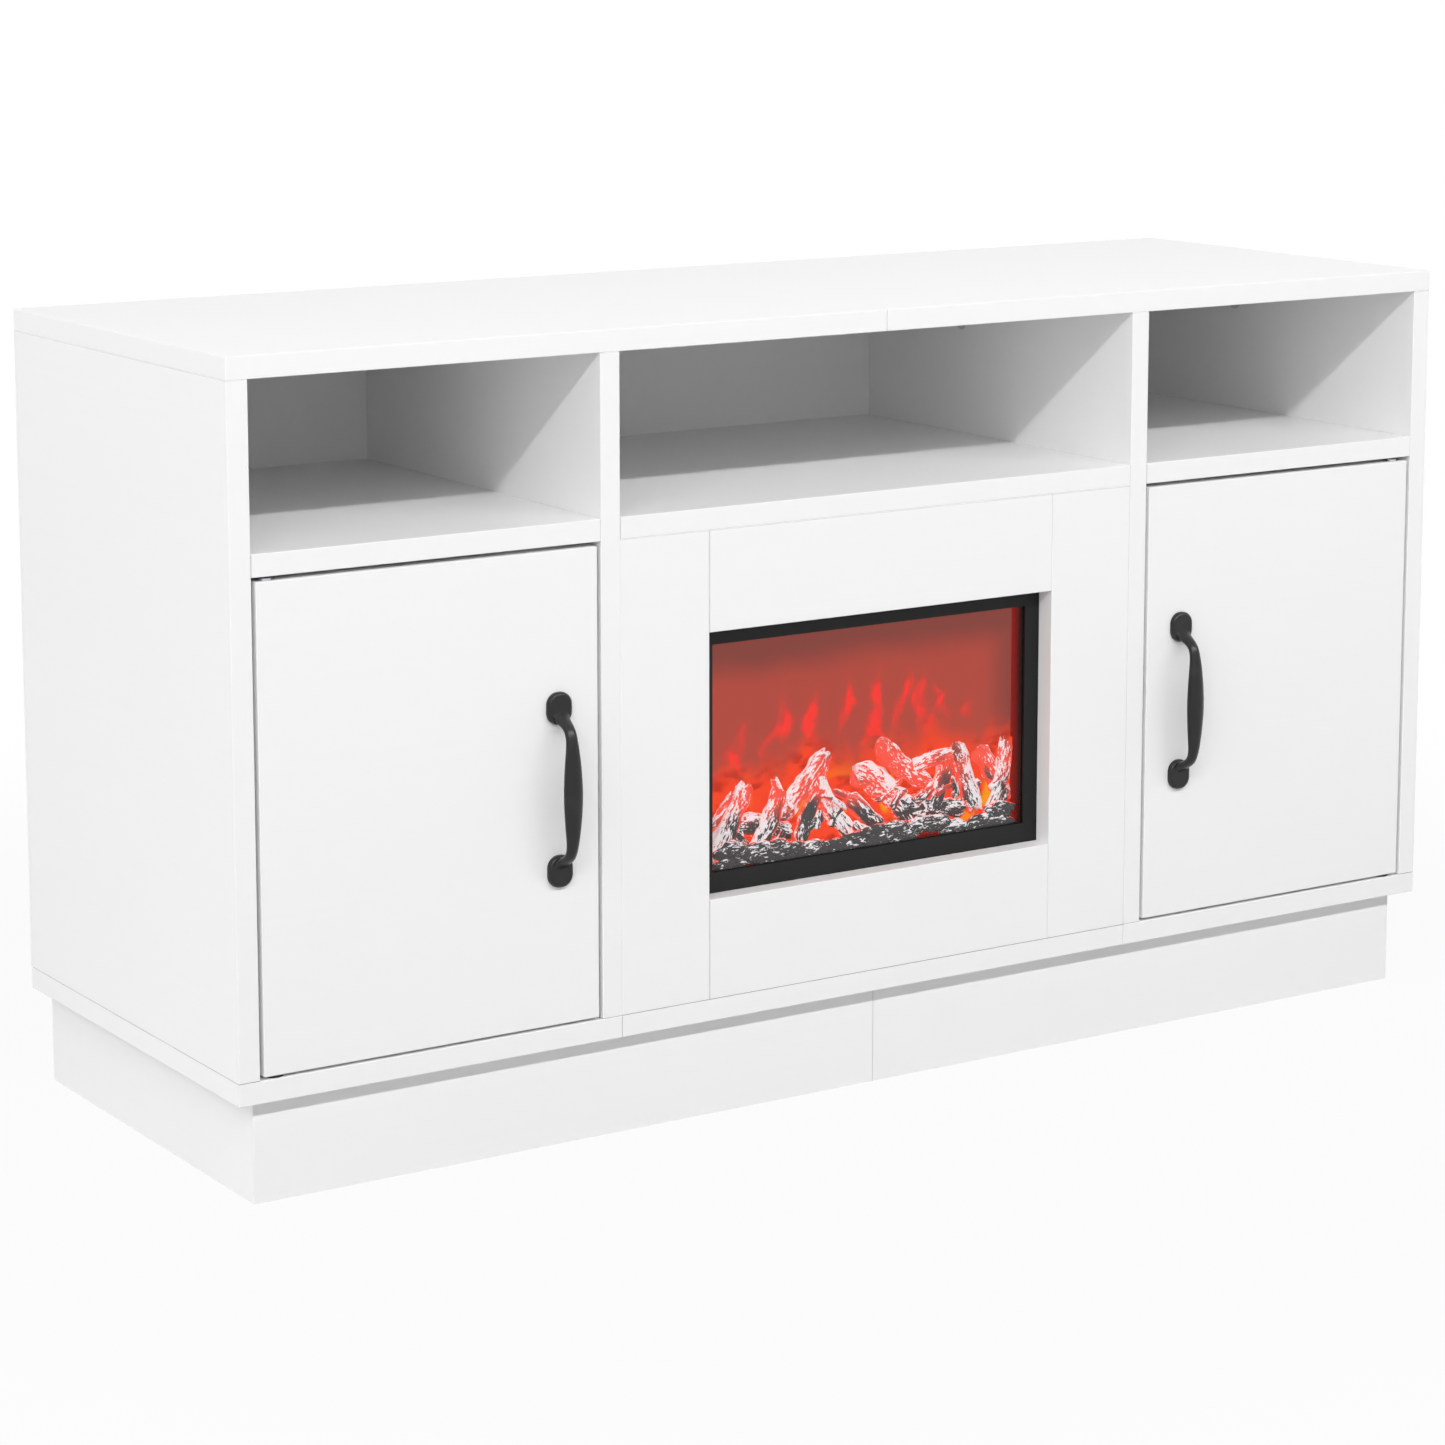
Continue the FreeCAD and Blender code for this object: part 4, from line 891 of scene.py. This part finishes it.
@dataclass
class LogPile:
    """The moulded logs in front of the flame screen, with broken chips between them."""

    window: FireWindow
    front: float
    back: float
    logs: tuple[LogShape, ...]
    rings: int = 44
    sides: int = 32
    chips: int = 26
    seed: int = 5
    bow: float = 0.07
    swell: float = 0.16
    taper: float = 0.16
    ragged: float = 0.08
    splinter: float = 0.05
    furrow: float = 0.40
    lump: float = 0.22
    layer: float = 0.30
    chip_lean: float = 1.2
    chip_length: Band = (0.05, 0.10)
    chip_radius: Band = (0.0026, 0.0048)

    def log(self, mesh: Mesh, number: int, shape: LogShape) -> None:
        """Adds one log with furrowed bark and rough broken ends.

        Args:
            mesh: the mesh that takes it.
            number: which log this is, which sets its bark and its layer.
            shape: its place and size.
        """
        start = self.window.at(shape.start_x, shape.start_z)
        run = self.window.at(shape.end_x, shape.end_z) - start
        across = run.normalized().cross(Vector((0.0, 1.0, 0.0)))
        upward = 1.0 if across.z > 0 else -1.0
        half_depth = (self.back - self.front) / 2
        thick = min(shape.radius, half_depth * (1.0 - self.layer))
        middle_y = (self.back + self.front) / 2 + (half_depth - thick) * (1.0 if number % 2 else -1.0)
        seed = Vector((number * 3.7, number * 1.9, number * 5.3))
        rows = []
        for ring in range(self.rings + 1):
            share = ring / self.rings
            along = share * run.length
            bow = across * (math.sin(share * math.pi) * self.bow * run.length * math.sin(number * 2.1))
            middle = start + run * share + bow
            uneven = noise.noise(seed + Vector((along * 45, 0.0, 0.0)))
            swell = 1.0 + self.swell * uneven - self.taper * share
            row = []
            for side in range(self.sides):
                turn = 2 * math.pi * side / self.sides
                way = Vector((math.cos(turn), math.sin(turn), 0.0))
                ragged = (self.ragged * noise.noise(seed + way * 2.3)
                          + self.splinter * noise.noise(seed + way * 6.0))
                blunt = clamp(min(share + ragged, 1.0 - share + ragged) * 9.0 + 0.45) ** 0.5
                furrow = abs(noise.noise(seed + Vector((along * 40, way.x * 3.4, way.y * 3.4))))
                knob = noise.noise(seed * 2 + Vector((along * 120, way.x * 1.5, way.y * 1.5)))
                rough = blunt * swell * (1.0 - self.furrow * furrow + self.lump * knob)
                torn = run * (ragged * abs(2 * share - 1) ** 8)
                place = middle + torn + across * (shape.radius * rough * way.x)
                place.y = clamp(middle_y + thick * rough * way.y, self.front, self.back)
                grain = Vector((along, turn * shape.radius, number * 0.37))
                row.append(self.point(mesh, number, place, way, upward, knob, grain))
            rows.append(row)
        for first, second in zip(rows, rows[1:]):
            for side in range(self.sides):
                after = (side + 1) % self.sides
                mesh.faces.append((first[side], first[after], second[after], second[side]))
        mesh.faces.append(tuple(reversed(rows[0])))
        mesh.faces.append(tuple(rows[-1]))

    def point(self, mesh: Mesh, number: int, place: Vector, way: Vector, upward: float, knob: float,
              grain: Vector) -> int:
        """Adds one point of a log's bark.

        Args:
            mesh: the mesh that takes it.
            number: which log it is on.
            place: where it is.
            way: which way the bark faces there, in the log's own section.
            upward: 1 where the section's first axis points up, else -1.
            knob: how far the bark stands out.
            grain: the place along and round the log.

        Returns:
            The point's number.
        """
        up = (place.z - self.window.low) / self.window.height
        height = clamp((up - 0.07) / 0.22)
        patch = 0.5 + 0.9 * noise.noise(place * 38.0 + Vector((0.0, number * 2.0, 0.0)))
        # Painted glow: stronger higher up, in random patches, and on the side that faces the flame screen
        # behind.
        edge = clamp((way.y + 0.75) / 0.6)
        glow = clamp(height * (0.35 + 0.65 * patch) + 0.75 * edge)
        age = 0.22 * math.sin(number * 2.7 + 0.6)
        ash = 0.46 + age + 0.30 * way.x * upward + 0.35 * knob + 0.20 * patch - 0.14 * height
        return mesh.point(place, grain, ash, glow)

    def scattered(self) -> list[LogShape]:
        """Throws short broken chips among the logs.

        Returns:
            The chips.
        """
        chance = random.Random(self.seed)
        found = []
        for number in range(self.chips):
            x = (number + chance.random()) / self.chips
            z = 0.05 + 0.18 * chance.random()
            lean = chance.uniform(-self.chip_lean, self.chip_lean)
            length = chance.uniform(*self.chip_length)
            reach = length * math.sin(lean)
            x = clamp(x, 0.03, 0.97 - abs(reach))
            rise = length * 1.67 * math.cos(lean)
            found.append(LogShape(x, z, x + reach, z + rise, chance.uniform(*self.chip_radius)))
        return found

    def build(self, finish: bpy.types.Material) -> bpy.types.Object:
        """Makes all the logs and chips.

        Args:
            finish: their material.

        Returns:
            One moulded piece.
        """
        mesh = Mesh()
        for number, shape in enumerate([*self.logs, *self.scattered()]):
            self.log(mesh, number, shape)
        return mesh.piece("log_pile", finish)


@dataclass
class CoalBed:
    """Broken coals along the sill, in front of the logs."""

    window: FireWindow
    front: float
    back: float
    count: int = 64
    seed: int = 11
    largest: float = 0.0105
    smallest: float = 0.0040
    crest: float = 0.11

    def build(self, finish: bpy.types.Material) -> bpy.types.Object:
        """Makes the coals: lumps of all sizes, heaped unevenly.

        Args:
            finish: their material.

        Returns:
            One piece.
        """
        chance = random.Random(self.seed)
        mesh = Mesh()
        half_depth = (self.back - self.front) / 2
        for number in range(self.count):
            size = self.smallest + (self.largest - self.smallest) * chance.random() ** 1.5
            across = (number + chance.random()) / self.count
            heap = 0.6 + 0.4 * math.sin(across * 21.0) * math.sin(across * 8.0 + 1.0)
            up = self.crest * heap * chance.random()
            place = self.window.at(across, up)
            place.x = clamp(place.x, self.window.left + 2 * size, self.window.right - 2 * size)
            place.z = max(place.z, self.window.low + 0.3 * size)
            self.lump(mesh, number, place, size, half_depth, chance)
        return mesh.piece("coal_bed", finish)

    def lump(self, mesh: Mesh, number: int, place: Vector, size: float, half_depth: float,
             chance: random.Random) -> None:
        """Adds one coal.

        Args:
            mesh: the mesh that takes it.
            number: which coal this is, which sets its shape.
            place, size: its middle and its radius.
            half_depth: how far it may reach to the front and the back.
            chance: the seeded source of its tone.
        """
        ball = bmesh.new()
        bmesh.ops.create_icosphere(ball, subdivisions=3, radius=1.0)
        seed = Vector((number * 2.3, number * 7.1, number * 0.7))
        tone = 0.15 + 0.65 * chance.random()
        middle_y = (self.front + self.back) / 2
        numbers = []
        for vertex in ball.verts:
            way = vertex.co
            rough = 1 + 0.35 * noise.noise(seed + way * 1.7) + 0.18 * noise.noise(seed + way * 4.5)
            spot = place + Vector((way.x * 1.3, 0.0, way.z * 0.75)) * (size * rough)
            spot.z = max(spot.z, self.window.low)
            spot.y = middle_y + clamp(way.y * rough * half_depth * 0.9, -half_depth, half_depth)
            # Painted glow: strongest on the back, which faces the flame screen, and on top.
            glow = clamp(0.45 + way.y + 0.3 * way.z)
            numbers.append(mesh.point(spot, seed * 0.1 + way * size, tone * (0.7 + 0.5 * way.z), glow))
        for face in ball.faces:
            mesh.faces.append(tuple(numbers[vertex.index] for vertex in face.verts))
        ball.free()


def wear(piece: bpy.types.Object, finish: bpy.types.Material) -> None:
    """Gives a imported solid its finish.

    Args:
        piece: the solid's object.
        finish: its material.
    """
    for slot in piece.material_slots:
        slot.material = finish
    LOG.info("%s wears %s", piece.name, finish.name)


def add(piece: bpy.types.Object, body: str, stands_for: str) -> None:
    """Puts a modelled piece on its body, in place of the solid that it stands for.

    Args:
        piece: the piece.
        body: the body that it moves with.
        stands_for: the solid's node.
    """
    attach(piece, body)
    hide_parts(stands_for)
    LOG.info("%s rides on %s", piece.name, body)


@dataclass
class Fire:
    """The electric fire: its picture, glass, logs and coals. The glass overlaps the window by the rebate."""

    rebate: float = 0.0048
    logs: tuple[LogShape, ...] = (
        LogShape(0.03, 0.03, 0.13, 0.35, 0.0094),
        LogShape(0.08, 0.17, 0.27, 0.10, 0.0088),
        LogShape(0.16, 0.05, 0.23, 0.30, 0.0082),
        LogShape(0.24, 0.18, 0.39, 0.43, 0.0094),
        LogShape(0.30, 0.06, 0.36, 0.28, 0.0066),
        LogShape(0.36, 0.33, 0.47, 0.05, 0.0082),
        LogShape(0.45, 0.22, 0.56, 0.06, 0.0077),
        LogShape(0.48, 0.34, 0.66, 0.08, 0.0110),
        LogShape(0.55, 0.45, 0.71, 0.24, 0.0088),
        LogShape(0.63, 0.14, 0.84, 0.09, 0.0088),
        LogShape(0.66, 0.31, 0.80, 0.35, 0.0066),
        LogShape(0.72, 0.09, 0.78, 0.34, 0.0082),
        LogShape(0.80, 0.39, 0.87, 0.08, 0.0082),
        LogShape(0.88, 0.35, 0.97, 0.09, 0.0094),
        LogShape(0.92, 0.06, 0.97, 0.38, 0.0072),
    )
    wisps: tuple[Wisp, ...] = (
        Wisp(0.07, 0.40, 0.62, 0.08, 0.016, 0.6, 0.015, 0.70),
        Wisp(0.15, 0.36, 0.54, -0.05, 0.030, 2.2, 0.017, 1.00),
        Wisp(0.20, 0.44, 0.60, 0.03, 0.016, 4.0, 0.014, 0.70),
        Wisp(0.26, 0.48, 0.72, -0.01, 0.012, 5.2, 0.015, 1.15),
        Wisp(0.31, 0.42, 0.68, 0.07, 0.022, 1.2, 0.016, 1.25),
        Wisp(0.37, 0.54, 0.74, -0.02, 0.014, 3.0, 0.012, 0.60),
        Wisp(0.40, 0.44, 0.58, -0.06, 0.026, 3.1, 0.019, 1.10),
        Wisp(0.45, 0.50, 0.78, 0.02, 0.012, 5.0, 0.014, 1.10),
        Wisp(0.50, 0.44, 0.70, 0.07, 0.026, 0.2, 0.016, 1.25),
        Wisp(0.55, 0.60, 0.80, 0.02, 0.014, 2.6, 0.012, 0.60),
        Wisp(0.58, 0.44, 0.60, -0.05, 0.024, 2.8, 0.018, 1.10),
        Wisp(0.63, 0.52, 0.76, 0.02, 0.016, 4.4, 0.014, 1.05),
        Wisp(0.68, 0.46, 0.74, 0.04, 0.020, 1.8, 0.016, 1.20),
        Wisp(0.74, 0.46, 0.64, 0.02, 0.016, 3.6, 0.014, 1.00),
        Wisp(0.78, 0.50, 0.68, -0.03, 0.018, 0.8, 0.012, 0.65),
        Wisp(0.85, 0.48, 0.60, 0.02, 0.014, 2.0, 0.012, 0.45),
    )

    def dress(self, nodes: dict[str, bpy.types.Object]) -> None:
        """Makes the logs and coals, and gives the screen, the glass and the housing their finishes.

        Args:
            nodes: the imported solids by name.
        """
        window = FireWindow.measured(self.rebate)
        wear(nodes["flame_screen"], FlamePicture("flame_picture", window, self.wisps).material())
        wear(nodes["fire_glass"], FloatGlass("float_glass").material())
        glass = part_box("fire_glass")[1].y
        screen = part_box("flame_screen")[0].y
        throat = LitThroat("lit_throat", window=window, glass=glass, screen=screen)
        wear(nodes["fire_housing"], throat.material())
        bark = CharredBark("charred_bark").material()
        low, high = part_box("log_set")
        add(LogPile(window, low.y, high.y, self.logs).build(bark), "carcass", "log_set")
        low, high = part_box("ember_bed")
        add(CoalBed(window, low.y, high.y).build(bark), "carcass", "ember_bed")


BETWEEN: dict[Side, Seam] = {Side.LEFT: Seam.FAINT, Side.RIGHT: Seam.FAINT}

BUTTED: dict[str, dict[Side, Seam]] = {
    **dict.fromkeys(("top_panel_left", "plinth_front_left"), {Side.RIGHT: Seam.FAINT}),
    **dict.fromkeys(("side_panel_left", "side_panel_right"), {Side.HIGH: Seam.PLAIN, Side.LOW: Seam.DEEP}),
    **dict.fromkeys(("partition_left", "partition_right"), {Side.HIGH: Seam.PLAIN, Side.LOW: Seam.PLAIN}),
    **dict.fromkeys(("shelf_left", "shelf_center", "shelf_right", "base_panel_center"), BETWEEN),
    "surround_stile_left": {Side.HIGH: Seam.DEEP, Side.LOW: Seam.DEEP},
    "surround_stile_right": {Side.RIGHT: Seam.FAINT, Side.HIGH: Seam.DEEP, Side.LOW: Seam.DEEP},
    "surround_rail_top": {**BETWEEN, Side.HIGH: Seam.DEEP},
    "surround_rail_bottom": {**BETWEEN, Side.LOW: Seam.DEEP},
}


@dataclass
class Carcass:
    """Boards, backs, doors, handles and hardware, by the record's material slots."""

    nodes: dict[str, bpy.types.Object]
    slots: dict[str, str]
    grain_to_back: tuple[str, ...] = ("side_panel", "partition", "plinth_side", "plinth_brace")

    def dress(self) -> None:
        """Gives every solid that the fire doesn't dress its finish."""
        finishes = (
            ("white_back", FacedHardboard("faced_hardboard")),
            ("raw_pine", BareWood("bare_pine", pale=srgb(222, 190, 140), dark=srgb(196, 152, 98))),
            ("beech_dowel", BareWood("bare_beech", pale=srgb(214, 176, 130), dark=srgb(186, 142, 98))),
            ("zinc_steel", PlainMetal("zinc_plate", (0.72, 0.73, 0.75), roughness=0.28, blotch=0.12)),
            ("white_nylon", Moulding("white_nylon", colour=srgb(236, 236, 232))),
            ("black_handle", SatinEnamel("satin_enamel")),
            ("black_sheet", PowderCoat("powder_coat")),
            ("circuit_board", CircuitBoard("solder_mask")),
            ("mirror_foil", PlainMetal("mirror_foil", (0.90, 0.90, 0.91), roughness=0.05, blotch=0.04)),
            ("black_plastic", Moulding("black_plastic", colour=srgb(34, 34, 35), roughness=0.45)),
        )
        materials = {slot: finish.material() for slot, finish in finishes}
        for name, piece in sorted(self.nodes.items()):
            slot = self.slots[name]
            if slot == "white_board":
                wear(piece, self.board(name).material())
            elif slot in materials:
                wear(piece, materials[slot])

    def board(self, name: str) -> CoatedBoard:
        """The finish of one board.

        Args:
            name: the board's node.

        Returns:
            A coat with its grain along the board, and its seams where the board butts its neighbours.
        """
        grain = Grain.FRONT_TO_BACK if name.startswith(self.grain_to_back) else Grain.ACROSS
        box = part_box(name)
        seams = []
        for side, seam in BUTTED.get(name, {}).items():
            axis, corner = side.value
            seams.append((axis, getattr(box[corner], axis.lower()), seam))
        return CoatedBoard(f"coat_{name}", grain, tuple(seams))


@dataclass(frozen=True)
class StripLamp:
    """A long soft box, level from end to end. Its power is in watts."""

    name: str
    place: Axes
    aim: Axes
    width: float
    height: float
    power: float

    def build(self) -> None:
        """Adds the lamp, facing the point that it is aimed at."""
        data = bpy.data.lights.new(self.name, "AREA")
        data.shape = "RECTANGLE"
        data.size = self.width
        data.size_y = self.height
        data.energy = self.power
        lamp = bpy.data.objects.new(self.name, data)
        lamp.visible_camera = False
        lamp.location = self.place
        away = Vector(self.place) - Vector(self.aim)
        lamp.rotation_euler = away.to_track_quat("Z", "Y").to_euler()
        bpy.context.scene.collection.objects.link(lamp)


@dataclass
class Studio:
    """Pale floor, a white surround that lights mostly from the left and the rear, and two strip lamps."""

    sky: float = 0.015
    left: float = 1.6
    rear: float = 3.4
    rear_way: Axes = (0.75, 0.66, 0.0)
    front: float = 0.15
    low_light: Band = (0.12, 0.5)
    floor_size: float = 24.0
    floor_pale: Colour = srgb(190, 190, 190)
    floor_shade: Colour = srgb(186, 186, 186)
    floor_grain: Texture = Texture(40.0)
    floor_glow: float = 0.94
    shadow_edge: Band = (0.6, 1.4)
    lamps: tuple[StripLamp, ...] = (
        StripLamp("key_strip", (-0.75, -2.77, 2.59), (-0.75, 0.0, 0.4), width=8.0, height=0.14, power=133.0),
        StripLamp("top_strip", (0.0, 0.5, 2.6), (0.0, 0.5, 0.55), width=2.0, height=0.6, power=4.0),
    )

    def seen(self, graph: Graph) -> Val:
        """Finds the rays that show the background.

        Args:
            graph: the node tree of the floor or the surround.

        Returns:
            1 for rays from the camera, or by gloss or glass, and 0 for the others.
        """
        camera = graph.node("ShaderNodeLightPath", output="Is Camera Ray")
        gloss = graph.node("ShaderNodeLightPath", output="Is Glossy Ray")
        glass = graph.node("ShaderNodeLightPath", output="Is Transmission Ray")
        return camera.above(gloss).above(glass)

    def build_world(self) -> None:
        """A white surround that lights the stand from its left and, low down, from its rear and its front."""
        world = bpy.data.worlds.new("studio")
        bpy.context.scene.world = world
        graph = Graph(world)
        way = graph.node("ShaderNodeTexCoord", output="Generated")
        dot = {"operation": "DOT_PRODUCT"}
        along_rear = graph.node("ShaderNodeVectorMath", dot, {0: way, 1: self.rear_way}, "Value")
        low_down = 1.0 - graph.part(way, "Z").ramp(*self.low_light)
        from_left = (0.0 - graph.part(way, "X")).above(0.0)
        from_rear = along_rear.above(0.0) * low_down
        from_front = (0.0 - graph.part(way, "Y")).above(0.0) * low_down
        level = self.sky + self.left * from_left + self.rear * from_rear + self.front * from_front
        light = graph.node("ShaderNodeBackground", None, {"Color": level})
        white = graph.node("ShaderNodeBackground", None, {"Color": rgba(WHITE)})
        shown = graph.node("ShaderNodeMixShader", None, {0: self.seen(graph), 1: light, 2: white})
        graph.node("ShaderNodeOutputWorld", None, {"Surface": shown})

    def floor_finish(self) -> bpy.types.Material:
        """Makes the floor's material.

        Returns:
            A matt pale coat that keeps a soft shadow and fades into the white surround.
        """
        made = bpy.data.materials.new("studio_floor")
        graph = Graph(made)
        place = graph.place()
        paint = graph.mix(graph.noise(self.floor_grain, place), self.floor_pale, self.floor_shade)
        coat = {"Base Color": paint, "Roughness": 1.0, "Specular IOR Level": 0.0}
        matt = graph.node("ShaderNodeBsdfPrincipled", None, coat, "BSDF")
        white = graph.node("ShaderNodeEmission", None, {"Color": rgba(WHITE)})
        away = graph.node("ShaderNodeVectorMath", {"operation": "LENGTH"}, {0: place}, "Value")
        glow = self.floor_glow + (1.0 - self.floor_glow) * away.ramp(*self.shadow_edge)
        shown = graph.node("ShaderNodeMixShader", None, {0: self.seen(graph) * glow, 1: matt, 2: white})
        graph.node("ShaderNodeOutputMaterial", None, {"Surface": shown})
        return made

    def build_floor(self) -> None:
        """A square floor under the stand."""
        half = self.floor_size / 2
        square = [(-half, -half, 0.0), (half, -half, 0.0), (half, half, 0.0), (-half, half, 0.0)]
        data = bpy.data.meshes.new("studio_floor")
        data.from_pydata(square, [], [(0, 1, 2, 3)])
        data.materials.append(self.floor_finish())
        floor = bpy.data.objects.new("studio_floor", data)
        bpy.context.scene.collection.objects.link(floor)

    def build(self) -> None:
        """Makes the floor, the surround and the lamps."""
        self.build_world()
        self.build_floor()
        for lamp in self.lamps:
            lamp.build()
        bpy.context.scene.view_settings.view_transform = "Standard"


@dataclass(frozen=True)
class StandCamera:
    """The camera at the photograph's viewing angle.

    Its angles are degrees, its sensor is in millimetres, and its focal length is in the photograph's pixels.
    """

    location: Axes = (-1.5538, -2.3517, 0.8391)
    azimuth: float = -32.984
    elevation: float = 8.803
    focal_pixels: float = 3935.4
    frame_pixels: float = 1445.0
    sensor: float = 36.0
    shift: float = -0.16

    def build(self) -> None:
        """Adds the camera and makes it the scene's."""
        data = bpy.data.cameras.new("stand_camera")
        data.sensor_width = self.sensor
        data.lens = self.sensor * self.focal_pixels / self.frame_pixels
        data.shift_y = self.shift
        made = bpy.data.objects.new("stand_camera", data)
        turn = math.radians(self.azimuth)
        dip = math.radians(self.elevation)
        look = Vector((-math.sin(turn) * math.cos(dip), math.cos(turn) * math.cos(dip), -math.sin(dip)))
        made.location = self.location
        made.rotation_euler = look.to_track_quat("-Z", "Y").to_euler()
        bpy.context.scene.collection.objects.link(made)
        bpy.context.scene.camera = made


def main() -> None:
    """Dresses the stand and lights it."""
    logging.basicConfig(level=logging.INFO, format="%(name)s: %(message)s")
    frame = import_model()
    StandCamera().build()
    Studio().build()
    slots = {part["node"]: part["material_slot"] for part in frame["record"]["subparts"]}
    Carcass(frame["nodes"], slots).dress()
    Fire().dress(frame["nodes"])


if __name__ == "__main__":
    main()
